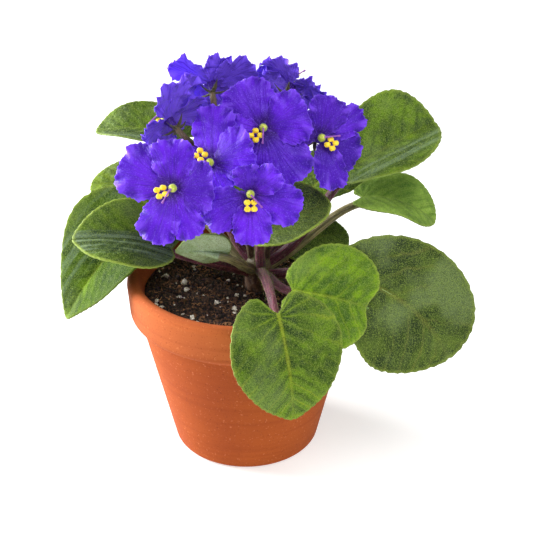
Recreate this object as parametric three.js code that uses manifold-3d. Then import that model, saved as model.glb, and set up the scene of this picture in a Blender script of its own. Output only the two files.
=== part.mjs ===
// A potted African violet: a terracotta pot filled with soil, a rosette of hairy scalloped leaves on long
// stalks round a short crown, and three flower stalks that carry nine frilled violet blooms above them.
// Millimetres, +Z up. The origin is the middle of the pot's foot, on the surface that it stands on.
// -Y is the front, where most of the blooms face, and +X is to the right of it.
import * as THREE from 'three';
import { mergeVertices } from 'three/addons/utils/BufferGeometryUtils.js';
import Module from 'manifold-3d';

const wasm = await Module();
wasm.setup();

// Clearance between two pieces that rest on each other, and the span that joined bodies are tidied to.
const SEAT_GAP = 0.3;
const MERGE_SPAN = 0.3;

// The pot.
const POT_HEIGHT = 86;
const RIM_RADIUS = 54;
const RIM_BAND_HEIGHT = 19;
const RIM_BAND_FOOT_RADIUS = 53;
const BODY_TOP_RADIUS = 49;
const FOOT_RADIUS = 34;
const WALL = 6;
const FLOOR = 8;
const DRAIN_HOLES = 3;
const DRAIN_HOLE_RADIUS = 4;
const DRAIN_HOLES_RADIUS = 15;
const POT_SIDES = 36;

// The soil in it, and the hole that the crown stands in.
const SOIL_TOP = 77.5;
const SOIL_RELIEF = 0.9;
const SOIL_SPOKES = 24;
const CROWN_AT = [6, 1];
const CROWN_RADIUS = 6.5;
const CROWN_FOOT = 64;
const CROWN_SHOULDER = 88;
const CROWN_TOP = 93;
const SOIL_HOLE_RADIUS = CROWN_RADIUS + SEAT_GAP + 0.4;

// Leaves.
const LEAF_THICKNESS = 1.6;
const LEAF_SPOKES = 24;
const LEAF_RINGS = [0.6, 1];
const LEAF_MIDDLE = 0.42;
const CLEFT = 0.85;
const SCALLOP = 0.018;
const STALK_ROOT_RADIUS = 2.6;
const STALK_END_RADIUS = 1.6;
const STALK_SIDES = 6;
const STALK_STEPS = 6;
const STALK_UNDER_BLADE = 4;

// Blooms.
const PETAL_THICKNESS = 0.8;
const PETAL_SPOKES = 10;
const PETAL_RINGS = [0.6, 1];
const PETAL_MIDDLE = 0.58;
const PETAL_START = 1.2;
const FRILL = 1.6;
const PETAL_SCALLOP = 0.04;
const TUBE_RADIUS = 2;
const TUBE_DEPTH = 4;
const TUBE_LIP = 0.5;
const SEPAL_LENGTH = 7;
const SEPAL_RADIUS = 1;
const PEDICEL_RADIUS = 1.1;
const PEDUNCLE_RADIUS = 1.6;
const POLLEN_RADIUS = 1.3;
const OVARY_RADIUS = 1.7;
const STYLE_RADIUS = 0.35;
const STYLE_LENGTH = 7;

// Each leaf: where its blade sits on its stalk, which way the midrib heads (degrees from +X towards +Y), its
// slope there, how far it turns down towards the tip, how far it leans about the midrib (its left side up),
// its length from the seat and its width, how far its two base lobes reach back as a share of its length,
// how much wider it is towards its base, how far its tip sticks out (or is notched, below zero), how far its
// halves lift off the midrib (degrees), and the height on the crown where its stalk grows.
const LEAVES = [
  { name: 'leaf_front', seat: [14.4, -61.2, 96.9], heading: -68, slope: -50, droop: 36, lean: 0,
    length: 44, width: 47, lobes: 0.26, egg: 0.26, tip: 0.05, lift: 6, root: 86 },
  { name: 'leaf_front_right', seat: [20.8, -40.2, 97.5], heading: -12, slope: -2, droop: 14, lean: 42,
    length: 38.5, width: 47.5, lobes: 0.14, egg: -0.02, tip: -0.12, lift: 6, root: 84 },
  { name: 'leaf_right_large', seat: [44, -31, 99.5], heading: -12, slope: -10, droop: 60, lean: 50,
    length: 64, width: 59, lobes: 0.12, egg: -0.1, tip: 0, lift: -6, root: 83 },
  { name: 'leaf_right_low', seat: [19.5, 15.5, 90.5], heading: 26, slope: 8, droop: 16, lean: 24,
    length: 33, width: 32, lobes: 0.12, egg: 0.1, tip: 0.02, lift: 0, root: 84 },
  { name: 'leaf_right_middle', seat: [53, 10, 118], heading: -8, slope: 10, droop: 56, lean: 8,
    length: 37, width: 35, lobes: 0.16, egg: -0.06, tip: 0.02, lift: 10, root: 86 },
  { name: 'leaf_right_high', seat: [46, 6, 133.5], heading: 14, slope: 27, droop: 4, lean: 26,
    length: 46, width: 43, lobes: 0.22, egg: -0.2, tip: 0, lift: 27, root: 87 },
  { name: 'leaf_inner_right', seat: [7, -20, 115], heading: 16, slope: 24, droop: 12, lean: 20,
    length: 34, width: 32, lobes: 0.2, egg: 0.1, tip: 0.03, lift: 20, root: 87 },
  { name: 'leaf_inner_left', seat: [-7, -18, 104], heading: 184, slope: 14, droop: 20, lean: 62,
    length: 23, width: 21, lobes: 0.04, egg: 0.2, tip: 0.06, lift: 10, root: 86 },
  { name: 'leaf_left_middle', seat: [-32, -15.6, 104.9], heading: 180, slope: 20, droop: 28, lean: -26,
    length: 44, width: 36, lobes: 0.08, egg: 0.12, tip: 0.05, lift: 18, root: 84 },
  { name: 'leaf_left_low', seat: [-47.5, 8, 105.5], heading: 188, slope: -40, droop: 24, lean: -32,
    length: 62, width: 44, lobes: 0.2, egg: 0.6, tip: 0.02, lift: 24, root: 82 },
  { name: 'leaf_left_back', seat: [-38, 32.4, 112.3], heading: 174, slope: 12, droop: 26, lean: -14,
    length: 38, width: 34, lobes: 0.24, egg: 0.06, tip: 0, lift: 4, root: 85 },
  { name: 'leaf_left_high', seat: [-27, 24.9, 141.5], heading: 172, slope: 16, droop: 32, lean: -14,
    length: 43, width: 30, lobes: 0.24, egg: 0.1, tip: 0.04, lift: 20, root: 88 },
  { name: 'leaf_back_left', seat: [-15, 42, 117], heading: 114, slope: 15, droop: 45, lean: 0,
    length: 44, width: 42, lobes: 0.28, egg: 0.12, tip: 0.04, lift: 5, root: 86 },
  { name: 'leaf_back', seat: [6, 38, 102], heading: 86, slope: 12, droop: 48, lean: 0,
    length: 47, width: 44, lobes: 0.3, egg: 0.16, tip: 0.05, lift: 5, root: 84 },
  { name: 'leaf_back_right', seat: [32, 36, 112], heading: 48, slope: 18, droop: 46, lean: 0,
    length: 45, width: 42, lobes: 0.28, egg: 0.1, tip: 0.02, lift: 5, root: 86 },
  { name: 'leaf_back_left_low', seat: [-34, 32, 94], heading: 146, slope: 5, droop: 50, lean: -5,
    length: 42, width: 40, lobes: 0.28, egg: 0.14, tip: 0.04, lift: 5, root: 83 },
];

// Each bloom: the middle of its face, the way it faces, which way its pollen sacs hang, and its five lobes as
// [turn, reach, width, rise]. Turns are degrees round the face from its right-hand side, as seen from in
// front. The reach from the middle and the width are millimetres, and the rise off the face is degrees.
const BLOOMS = [
  { name: 'bloom_front_left', at: [-28, -37, 143], faces: [-0.15, -0.87, 0.46], pollen: 205, spray: 0,
    lobes: [[5, 17, 22, 14], [95, 20, 18, 18], [158, 26, 23, 2], [251, 24, 17, 9], [295, 22, 14, 3]] },
  { name: 'bloom_middle', at: [-13, -25, 149], faces: [-0.3, -0.8, 0.5], pollen: 150, spray: 0,
    lobes: [[26, 20, 23, 16], [98, 25, 19, 3], [180, 14, 12, 10], [235, 15, 12, 12], [290, 17, 17, 2]] },
  { name: 'bloom_top_middle', at: [8, -14, 160], faces: [0.05, -0.87, 0.5], pollen: 225, spray: 1,
    lobes: [[20, 20, 23, 18], [115, 22, 22, 8], [180, 16, 12, 14], [238, 16, 12, 2], [300, 27, 24, 4]] },
  { name: 'bloom_front', at: [3, -38, 141], faces: [0, -0.92, 0.4], pollen: 272, spray: 1,
    lobes: [[40, 15, 12, 40], [100, 12, 12, 34], [208, 22, 18, 6], [273, 21, 16, 11], [342, 22, 17, 4]] },
  { name: 'bloom_right', at: [32, -7, 153], faces: [0.3, -0.85, 0.42], pollen: 318, spray: 2,
    lobes: [[22, 23, 13, 8], [66, 18, 18, 20], [150, 18, 17, 4], [280, 23, 14, 10], [330, 20, 18, 3]] },
  { name: 'bloom_left', at: [-32, -2, 159], faces: [-0.58, 0.55, 0.42], pollen: 270, spray: 0,
    lobes: [[80, 23, 18, 10], [122, 22, 17, 18], [180, 20, 18, 6], [250, 20, 16, 12], [330, 14, 15, 4]] },
  { name: 'bloom_top_left', at: [-14, 13, 170], faces: [-0.05, 0.85, 0.45], pollen: 270, spray: 0,
    lobes: [[33, 21, 13, 12], [108, 15, 12, 18], [152, 21, 18, 8], [220, 20, 17, 12], [300, 18, 18, 4]] },
  { name: 'bloom_top_right', at: [20, 14, 169], faces: [0.35, 0.75, 0.5], pollen: 100, spray: 2,
    lobes: [[8, 16, 17, 8], [74, 17, 18, 8], [175, 14, 12, 4], [215, 18, 16, 8], [285, 18, 18, 12]] },
  { name: 'bloom_back', at: [8, 40, 146], faces: [0.1, 0.88, 0.45], pollen: 270, spray: 1,
    lobes: [[50, 18, 16, 18], [126, 18, 16, 10], [200, 21, 18, 4], [270, 22, 18, 12], [340, 21, 18, 6]] },
];

// Each flower stalk: where it stands on the crown, and the fork that its blooms' thin stalks spring from.
const SPRAYS = [
  { name: 'flower_stalk_left', foot: [2.4, 0], fork: [-6, -10, 126] },
  { name: 'flower_stalk_middle', foot: [6, 3.4], fork: [3, -3, 127] },
  { name: 'flower_stalk_right', foot: [9.6, 0], fork: [15, 2, 130] },
];

const radians = THREE.MathUtils.degToRad;
const vector = (xyz) => new THREE.Vector3(...xyz);

// A small repeatable random source, so that every build is the same.
function randomFrom(seed) {
  let state = seed * 7919 + 13;
  return () => {
    state = (state * 16807) % 2147483647;
    return state / 2147483647;
  };
}

// A closed geometry from points and triangles.
function geometryOf(points, triangles) {
  const geometry = new THREE.BufferGeometry();
  geometry.setAttribute('position', new THREE.Float32BufferAttribute(points.flatMap((p) => p.toArray()), 3));
  geometry.setIndex(triangles.flat());
  return geometry;
}

// A closed mesh as a solid that can be joined and cut.
function solidOf(geometry) {
  const bare = geometry.clone();
  bare.deleteAttribute('normal');
  bare.deleteAttribute('uv');
  const merged = mergeVertices(bare, 1e-4);
  return new wasm.Manifold(new wasm.Mesh({
    numProp: 3,
    vertProperties: new Float32Array(merged.attributes.position.array),
    triVerts: new Uint32Array(merged.index.array),
  }));
}

// A solid back as a geometry.
function geometryFrom(solid) {
  const mesh = solid.getMesh();
  const geometry = new THREE.BufferGeometry();
  geometry.setAttribute('position', new THREE.BufferAttribute(mesh.vertProperties, mesh.numProp));
  geometry.setIndex(new THREE.BufferAttribute(mesh.triVerts, 1));
  return geometry;
}

// Joins closed bodies into one, with any sealed hollow filled and loose scraps left out.
function join(geometries) {
  const whole = geometries.map(solidOf).reduce((all, next) => all.add(next));
  const bodies = whole.simplify(MERGE_SPAN).decompose();
  return geometryFrom(bodies.reduce((largest, body) => (body.volume() > largest.volume() ? body : largest)));
}

const plant = new THREE.Group();

// Adds one named piece with its own material.
function addPiece(name, geometry, color, roughness) {
  const mesh = new THREE.Mesh(geometry, new THREE.MeshStandardMaterial({ color, roughness, metalness: 0 }));
  mesh.name = name;
  plant.add(mesh);
}

// A round body about the upright axis from a closed outline of [radius, height] pairs.
function turned(outline, sides) {
  const points = outline.map(([radius, height]) => new THREE.Vector2(radius, height));
  return new THREE.LatheGeometry(points, sides).rotateX(Math.PI / 2);
}

// The triangles of a disc laid out as a middle point and rings of spokes, counter-clockwise from above.
function discTriangles(spokes, rings) {
  const triangles = [];
  const at = (ring, spoke) => 1 + ring * spokes + (spoke % spokes);
  for (let s = 0; s < spokes; s += 1) {
    triangles.push([0, at(0, s), at(0, s + 1)]);
    for (let r = 0; r + 1 < rings; r += 1) {
      triangles.push([at(r, s), at(r + 1, s), at(r + 1, s + 1)]);
      triangles.push([at(r, s), at(r + 1, s + 1), at(r, s + 1)]);
    }
  }
  return triangles;
}

// A thin closed body on both sides of a disc of points, with the same triangles on both faces.
function thinBody(points, spokes, rings, thickness) {
  const triangles = discTriangles(spokes, rings);
  const sheet = geometryOf(points, triangles);
  sheet.computeVertexNormals();
  const normals = sheet.getAttribute('normal');
  const face = (side) => points.map((point, i) => point.clone().addScaledVector(
    new THREE.Vector3().fromBufferAttribute(normals, i), (side * thickness) / 2));
  const count = points.length;
  const under = triangles.map(([a, b, c]) => [count + a, count + c, count + b]);
  const rim = [];
  const edge = (spoke) => 1 + (rings - 1) * spokes + (spoke % spokes);
  for (let s = 0; s < spokes; s += 1) {
    const [here, next] = [edge(s), edge(s + 1)];
    rim.push([here, count + here, count + next], [here, count + next, next]);
  }
  return geometryOf([...face(1), ...face(-1)], [...triangles, ...under, ...rim]);
}

// A closed round stalk along a curve, with its radius given along the way from 0 to 1.
function stalk(curve, radiusAt, sides, steps) {
  const frames = curve.computeFrenetFrames(steps, false);
  const points = [];
  const triangles = [];
  for (let i = 0; i <= steps; i += 1) {
    const middle = curve.getPointAt(i / steps);
    for (let k = 0; k < sides; k += 1) {
      const turn = (2 * Math.PI * k) / sides;
      points.push(middle.clone()
        .addScaledVector(frames.normals[i], Math.cos(turn) * radiusAt(i / steps))
        .addScaledVector(frames.binormals[i], Math.sin(turn) * radiusAt(i / steps)));
    }
  }
  for (let i = 0; i < steps; i += 1) {
    for (let k = 0; k < sides; k += 1) {
      const [a, b] = [i * sides + k, i * sides + ((k + 1) % sides)];
      triangles.push([a, b, b + sides], [a, b + sides, a + sides]);
    }
  }
  const last = steps * sides;
  for (let k = 1; k + 1 < sides; k += 1) {
    triangles.push([0, k + 1, k], [last, last + k, last + k + 1]);
  }
  return geometryOf(points, triangles);
}

// The pot: a tapered body under a thicker rim band, hollow, with drain holes round the middle of its floor.
function makePot() {
  const bandFoot = POT_HEIGHT - RIM_BAND_HEIGHT;
  const innerTop = RIM_RADIUS - WALL;
  const innerFoot = FOOT_RADIUS - WALL + 2;
  const body = turned([
    [0, 0], [FOOT_RADIUS - 1.5, 0], [FOOT_RADIUS, 1.5], [BODY_TOP_RADIUS, bandFoot],
    [RIM_BAND_FOOT_RADIUS - 1.6, bandFoot], [RIM_BAND_FOOT_RADIUS, bandFoot + 1.8],
    [RIM_RADIUS, POT_HEIGHT - 3], [RIM_RADIUS - 1.5, POT_HEIGHT - 0.6], [RIM_RADIUS - 3, POT_HEIGHT],
    [innerTop + 0.8, POT_HEIGHT - 0.6], [innerTop, POT_HEIGHT - 3], [innerFoot, FLOOR], [0, FLOOR],
  ], POT_SIDES);
  const holes = Array.from({ length: DRAIN_HOLES }, (_, i) => {
    const turn = (2 * Math.PI * i) / DRAIN_HOLES;
    return solidOf(new THREE.CylinderGeometry(DRAIN_HOLE_RADIUS, DRAIN_HOLE_RADIUS, 4 * FLOOR, 10)
      .rotateX(Math.PI / 2)
      .translate(DRAIN_HOLES_RADIUS * Math.cos(turn), DRAIN_HOLES_RADIUS * Math.sin(turn), 0));
  });
  return geometryFrom(holes.reduce((pot, hole) => pot.subtract(hole), solidOf(body)));
}

// The pot's inner radius at a height.
function innerRadius(height) {
  const top = RIM_RADIUS - WALL;
  const foot = FOOT_RADIUS - WALL + 2;
  return foot + ((top - foot) * (height - FLOOR)) / (POT_HEIGHT - 3 - FLOOR);
}

// The soil: it fills the pot to a rough top, with a plain hole for the crown's foot.
function makeSoil() {
  const random = randomFrom(3);
  const rings = [0.3, 0.55, 0.8, 1];
  const flatShare = Math.cos(Math.PI / POT_SIDES);
  const ringPoints = (radius, height, rough) => Array.from({ length: SOIL_SPOKES }, (_, s) => {
    const turn = (2 * Math.PI * s) / SOIL_SPOKES;
    return new THREE.Vector3(radius * Math.cos(turn), radius * Math.sin(turn),
      height + rough * (random() - 0.5) * 2);
  });
  const topRadius = innerRadius(SOIL_TOP - 1) * flatShare - SEAT_GAP;
  const footHeight = FLOOR + SEAT_GAP;
  const points = [new THREE.Vector3(0, 0, SOIL_TOP)];
  rings.forEach((share) => points.push(...ringPoints(topRadius * share, SOIL_TOP,
    share < 1 ? SOIL_RELIEF : SOIL_RELIEF / 3)));
  points.push(...ringPoints(innerRadius(footHeight) * flatShare - SEAT_GAP, footHeight, 0));
  points.push(new THREE.Vector3(0, 0, footHeight));
  const last = points.length - 1;
  const triangles = discTriangles(SOIL_SPOKES, rings.length + 1);
  for (let s = 0; s < SOIL_SPOKES; s += 1) {
    const edge = last - SOIL_SPOKES;
    triangles.push([last, edge + ((s + 1) % SOIL_SPOKES), edge + s]);
  }
  const hole = new THREE.CylinderGeometry(SOIL_HOLE_RADIUS, SOIL_HOLE_RADIUS, 40, 16).rotateX(Math.PI / 2)
    .translate(CROWN_AT[0], CROWN_AT[1], CROWN_FOOT - SEAT_GAP + 20);
  return geometryFrom(solidOf(geometryOf(points, triangles)).subtract(solidOf(hole)));
}

// A leaf's own axes where its blade sits: ahead along the heading, up, and to the left.
function leafAxes(leaf) {
  const turn = radians(leaf.heading);
  return {
    ahead: new THREE.Vector3(Math.cos(turn), Math.sin(turn), 0),
    left: new THREE.Vector3(-Math.sin(turn), Math.cos(turn), 0),
    up: new THREE.Vector3(0, 0, 1),
  };
}

// The midrib is an arc that starts at the leaf's slope and turns down by its droop over its length.
function midrib(leaf, along) {
  const { ahead, left, up } = leafAxes(leaf);
  const bend = radians(leaf.droop) / leaf.length;
  const start = radians(leaf.slope);
  const slope = start - bend * along;
  const reach = (Math.sin(start) - Math.sin(slope)) / bend;
  const rise = (Math.cos(slope) - Math.cos(start)) / bend;
  const normal = ahead.clone().multiplyScalar(-Math.sin(slope)).addScaledVector(up, Math.cos(slope));
  const lean = radians(leaf.lean);
  return {
    point: vector(leaf.seat).addScaledVector(ahead, reach).addScaledVector(up, rise),
    tangent: ahead.clone().multiplyScalar(Math.cos(slope)).addScaledVector(up, Math.sin(slope)),
    across: left.clone().multiplyScalar(Math.cos(lean)).addScaledVector(normal, Math.sin(lean)),
    face: left.clone().multiplyScalar(-Math.sin(lean)).addScaledVector(normal, Math.cos(lean)),
  };
}

// A point of the blade's middle surface, from its place in the flat leaf: along the midrib and across it.
function bladePoint(leaf, along, across) {
  const rib = midrib(leaf, along);
  const side = across / (leaf.width / 2);
  const lift = Math.tan(radians(leaf.lift)) * (Math.hypot(across, 2) - 2);
  const wave = 0.03 * leaf.width * side * side * Math.sin((7 * along) / leaf.length + leaf.heading);
  return rib.point.addScaledVector(rib.across, across).addScaledVector(rib.face, lift + wave);
}

// The flat outline of a leaf: an egg with a round base, a narrow cleft at the seat and a tip of its own.
function leafOutline(leaf, turn) {
  const tip = leaf.tip * Math.exp(-(((Math.PI - Math.abs(turn)) / 0.3) ** 2));
  const base = Math.exp(-((turn / 1.1) ** 2)) - CLEFT * Math.exp(-((turn / 0.18) ** 2));
  const along = leaf.length * (0.47 * (1 - Math.cos(turn)) + tip - leaf.lobes * base);
  const across = (leaf.width / 2) * Math.sin(turn) * (1 + leaf.egg * Math.cos(turn));
  return [along, across];
}

function makeBlade(leaf) {
  const middle = LEAF_MIDDLE * leaf.length;
  const points = [bladePoint(leaf, middle, 0)];
  for (const ring of LEAF_RINGS) {
    for (let s = 0; s < LEAF_SPOKES; s += 1) {
      const turn = (2 * Math.PI * s) / LEAF_SPOKES - Math.PI;
      const [along, across] = leafOutline(leaf, turn);
      const share = ring === 1 ? 1 + (s % 2 ? SCALLOP : -SCALLOP) : ring;
      points.push(bladePoint(leaf, middle + (along - middle) * share, across * share));
    }
  }
  return thinBody(points, LEAF_SPOKES, LEAF_RINGS.length, LEAF_THICKNESS);
}

// A leaf's stalk grows from the crown, curves up and ends flat under the start of the midrib.
function leafStalkCurve(leaf) {
  const root = new THREE.Vector3(CROWN_AT[0], CROWN_AT[1], leaf.root);
  const rib = midrib(leaf, STALK_UNDER_BLADE);
  const below = LEAF_THICKNESS / 2 + SEAT_GAP + STALK_END_RADIUS + 0.2;
  const end = rib.point.clone().addScaledVector(rib.face, -below);
  const span = end.distanceTo(root);
  const out = new THREE.Vector3(end.x - root.x, end.y - root.y, 0).normalize();
  const leave = out.multiplyScalar(0.9).add(new THREE.Vector3(0, 0, 0.35)).normalize();
  return new THREE.CubicBezierCurve3(root, root.clone().addScaledVector(leave, span * 0.4),
    end.clone().addScaledVector(rib.tangent, -span * 0.3), end);
}

function makeCrown() {
  const trunk = turned([[0, CROWN_FOOT], [CROWN_RADIUS - 2, CROWN_FOOT], [CROWN_RADIUS, CROWN_FOOT + 6],
    [CROWN_RADIUS, CROWN_SHOULDER], [CROWN_RADIUS - 1, CROWN_TOP], [0, CROWN_TOP]], 12)
    .translate(CROWN_AT[0], CROWN_AT[1], 0);
  const taper = (share) => THREE.MathUtils.lerp(STALK_ROOT_RADIUS, STALK_END_RADIUS, share);
  const stalks = LEAVES.map((leaf) => stalk(leafStalkCurve(leaf), taper, STALK_SIDES, STALK_STEPS));
  return join([trunk, ...stalks]);
}

// A bloom's own axes: out along the way it faces, up the face, and to its right as seen from in front.
function bloomAxes(bloom) {
  const out = vector(bloom.faces).normalize();
  const up = new THREE.Vector3(0, 0, 1).addScaledVector(out, -out.z).normalize();
  return { out, up, right: up.clone().cross(out) };
}

function bloomPoint(bloom, [right, up, out]) {
  const axes = bloomAxes(bloom);
  return vector(bloom.at).addScaledVector(axes.right, right).addScaledVector(axes.up, up)
    .addScaledVector(axes.out, out);
}

// A point of a petal's middle surface: how far along it, how far across, and where that is round its edge.
function petalPoint(bloom, [turn, reach, width, rise], along, across, edgeTurn, phase) {
  const share = along / reach;
  const side = across / (width / 2);
  const rolled = 0.1 * reach * share ** 3 + 0.05 * width * side * side;
  const dish = (along - PETAL_START) * Math.tan(radians(rise)) - rolled;
  const wave = FRILL * share * Math.hypot(share - PETAL_MIDDLE, side) * Math.sin(5 * edgeTurn + phase);
  const heading = radians(turn);
  return bloomPoint(bloom, [
    along * Math.cos(heading) - across * Math.sin(heading),
    along * Math.sin(heading) + across * Math.cos(heading),
    dish + wave,
  ]);
}

// A petal is narrow at the throat, widest past its middle, and round and frilled at the end.
function makePetal(bloom, lobe, phase) {
  const [, reach, width] = lobe;
  const middle = PETAL_MIDDLE * reach;
  const points = [petalPoint(bloom, lobe, middle, 0, 0, phase)];
  for (const ring of PETAL_RINGS) {
    for (let s = 0; s < PETAL_SPOKES; s += 1) {
      const turn = (2 * Math.PI * s) / PETAL_SPOKES - Math.PI;
      const along = PETAL_START + ((reach - PETAL_START) * (1 - Math.cos(turn))) / 2;
      const across = (width / 2) * Math.sin(turn) * (1 - 0.3 * Math.cos(turn));
      const out = ring === 1 ? 1 + PETAL_SCALLOP * (s % 2 ? 1 : -1) : ring;
      points.push(petalPoint(bloom, lobe, middle + (along - middle) * out, across * out, turn, phase));
    }
  }
  return thinBody(points, PETAL_SPOKES, PETAL_RINGS.length, PETAL_THICKNESS);
}

// The corolla's five petals overlap and join at the throat, on a short tube.
function makeCorolla(bloom, seed) {
  const random = randomFrom(seed);
  const petals = bloom.lobes.map((lobe) => makePetal(bloom, lobe, random() * 6));
  const tubeLine = new THREE.LineCurve3(
    bloomPoint(bloom, [0, 0, -TUBE_DEPTH]),
    bloomPoint(bloom, [0, 0, TUBE_LIP]),
  );
  const tube = stalk(tubeLine, (share) => TUBE_RADIUS * (0.7 + 0.5 * share), 8, 1);
  return join([...petals, tube]);
}

// The way that the pollen sacs and the style lean, as a place on the face at a distance from the middle.
function towardsPollen(bloom, distance, swing, out) {
  const turn = radians(bloom.pollen + swing);
  return [distance * Math.cos(turn), distance * Math.sin(turn), out];
}

// The pale ovary stands in the throat, and its thin style leans out to one side.
function makePistil(bloom) {
  const foot = TUBE_LIP + SEAT_GAP;
  const ovaryLine = new THREE.LineCurve3(
    bloomPoint(bloom, [0, 0, foot]),
    bloomPoint(bloom, [0, 0, foot + 4]),
  );
  const styleLine = new THREE.LineCurve3(
    bloomPoint(bloom, [0, 0, foot + 3.4]),
    bloomPoint(bloom, towardsPollen(bloom, STYLE_LENGTH, 40, foot + 5)),
  );
  const swell = [0.5, 1, 0.6];
  const ovary = stalk(ovaryLine, (share) => OVARY_RADIUS * swell[Math.round(share * 2)], 6, 2);
  const style = stalk(styleLine, () => STYLE_RADIUS, 4, 1);
  return join([ovary, style]);
}

// Four round yellow pollen sacs hang together beside the ovary, as beads on one bent thread.
function makePollen(bloom) {
  const out = TUBE_LIP + SEAT_GAP + 3.2;
  const near = OVARY_RADIUS + SEAT_GAP + POLLEN_RADIUS;
  const far = near + 2.1 * POLLEN_RADIUS;
  const apart = 1.05 * POLLEN_RADIUS;
  const turn = radians(bloom.pollen);
  const places = [[near, apart], [far, apart], [far, -apart], [near, -apart]];
  const beads = places.map(([along, across]) => bloomPoint(bloom, [
    along * Math.cos(turn) - across * Math.sin(turn),
    along * Math.sin(turn) + across * Math.cos(turn),
    out,
  ]));
  const thread = new THREE.CatmullRomCurve3(beads);
  const bead = (share) => POLLEN_RADIUS * (0.72 + 0.28 * Math.cos(6 * Math.PI * share));
  return stalk(thread, bead, 5, 9);
}

// A flower stalk rises from the crown to its fork, and a thin stalk with five sepals goes to each bloom.
function makeSpray(spray, blooms) {
  const foot = new THREE.Vector3(...spray.foot, CROWN_TOP + SEAT_GAP);
  const fork = vector(spray.fork);
  const rise = new THREE.Vector3(0, 0, 14);
  const main = stalk(new THREE.CubicBezierCurve3(foot, foot.clone().add(rise), fork.clone().sub(rise), fork),
    () => PEDUNCLE_RADIUS, STALK_SIDES, 4);
  const parts = [main];
  for (const bloom of blooms) {
    const back = (distance) => bloomPoint(bloom, [0, 0, -distance]);
    const end = back(TUBE_DEPTH + SEAT_GAP);
    const start = fork.clone().addScaledVector(rise, -0.05);
    parts.push(stalk(new THREE.CubicBezierCurve3(start, start.clone().addScaledVector(rise, 0.6),
      back(TUBE_DEPTH + 10), end), () => PEDICEL_RADIUS, 5, 4));
    for (let k = 0; k < 5; k += 1) {
      const turn = radians(72 * k + 36);
      const tip = [SEPAL_LENGTH * Math.cos(turn), SEPAL_LENGTH * Math.sin(turn), -TUBE_DEPTH + 0.8];
      parts.push(stalk(new THREE.LineCurve3(back(TUBE_DEPTH + 1.2), bloomPoint(bloom, tip)),
        (share) => SEPAL_RADIUS * (1 - 0.8 * share), 3, 1));
    }
  }
  return join(parts);
}

addPiece('pot', makePot(), 0xc4683c, 0.9);
addPiece('soil', makeSoil(), 0x2a1d16, 1);
addPiece('crown_and_leaf_stalks', makeCrown(), 0x6e4350, 0.7);
LEAVES.forEach((leaf) => addPiece(leaf.name, makeBlade(leaf), 0x4e7d33, 0.7));
SPRAYS.forEach((spray, i) => addPiece(spray.name, makeSpray(spray, BLOOMS.filter((b) => b.spray === i)),
  0x5d4438, 0.7));
BLOOMS.forEach((bloom, i) => {
  addPiece(`${bloom.name}_corolla`, makeCorolla(bloom, i + 1), 0x5a2fd0, 0.6);
  addPiece(`${bloom.name}_pistil`, makePistil(bloom), 0xa9bc58, 0.6);
  addPiece(`${bloom.name}_pollen`, makePollen(bloom), 0xf2c812, 0.6);
});

export default plant;
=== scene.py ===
# %% [markdown]
# # A potted African violet
# A terracotta pot, dark soil, a rosette of hairy leaves on long stalks, and frilled violet blooms above
# them. The plain solids are loaded first. They say where everything is, and each one is replaced here by a
# finer piece of the same form. The finer pieces have to take up the same room.

# %% Load the solids
import math
import bpy
import numpy as np
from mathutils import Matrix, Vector


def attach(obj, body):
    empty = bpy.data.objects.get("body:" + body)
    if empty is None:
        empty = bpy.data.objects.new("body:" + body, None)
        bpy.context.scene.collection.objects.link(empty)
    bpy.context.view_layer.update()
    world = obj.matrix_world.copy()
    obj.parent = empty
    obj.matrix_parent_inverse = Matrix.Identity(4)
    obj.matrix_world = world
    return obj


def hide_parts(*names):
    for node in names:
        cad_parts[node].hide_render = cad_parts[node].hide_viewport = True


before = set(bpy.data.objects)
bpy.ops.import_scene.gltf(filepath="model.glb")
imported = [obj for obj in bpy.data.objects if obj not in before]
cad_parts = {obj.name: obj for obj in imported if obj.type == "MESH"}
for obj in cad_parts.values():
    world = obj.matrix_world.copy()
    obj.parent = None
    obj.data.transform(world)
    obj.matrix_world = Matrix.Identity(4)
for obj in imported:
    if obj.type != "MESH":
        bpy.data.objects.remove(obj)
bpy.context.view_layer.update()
print("solids loaded:", len(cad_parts))

# %% [markdown]
# ## Camera
# The picture is taken from in front and a little above, from half a metre away. A longer lens than usual
# keeps the pot's sides nearly straight. The camera is turned towards a point in the middle of the plant,
# which is easier to read than three angles.

# %% Camera
MM = 0.001
LENS = 81.05
CAMERA_AT = (9.5, -482.98, 340.5)
LOOKS_AT = (9.5, 0, 88)
NEAREST_SEEN = 10


def facing(at):
    """The turn of a camera or lamp that looks from its place towards the plant."""
    return (Vector(LOOKS_AT) - Vector(at)).to_track_quat("-Z", "Y")


camera_data = bpy.data.cameras.new("camera")
camera_data.lens = LENS
camera = bpy.data.objects.new("camera", camera_data)
camera.location = Vector(CAMERA_AT) * MM
camera.rotation_mode = "QUATERNION"
camera.rotation_quaternion = facing(CAMERA_AT)
camera_data.clip_start = NEAREST_SEEN * MM
bpy.context.scene.collection.objects.link(camera)
bpy.context.scene.camera = camera
print("camera distance in mm:", round((Vector(CAMERA_AT) - Vector(LOOKS_AT)).length))

# %% [markdown]
# ## Light
# The plant stands in a bright studio. One large soft lamp stands on the left and a little behind, so the
# pot's left side is the brightest. Another hangs above the leaves, and the white surroundings light the
# rest.

# %% Light
SIDE_LAMP = {"at": (-880, 300, 330), "size": 600, "power": 29}
TOP_LAMP = {"at": (300, -600, 1000), "size": 800, "power": 11.5}
SURROUNDINGS = 0.28


def add_lamp(name, lamp):
    """A square soft lamp that is turned towards the plant."""
    data = bpy.data.lights.new(name, "AREA")
    data.shape = "SQUARE"
    data.size = lamp["size"] * MM
    data.energy = lamp["power"]
    light = bpy.data.objects.new(name, data)
    light.location = Vector(lamp["at"]) * MM
    light.rotation_mode = "QUATERNION"
    light.rotation_quaternion = facing(lamp["at"])
    bpy.context.scene.collection.objects.link(light)


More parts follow.
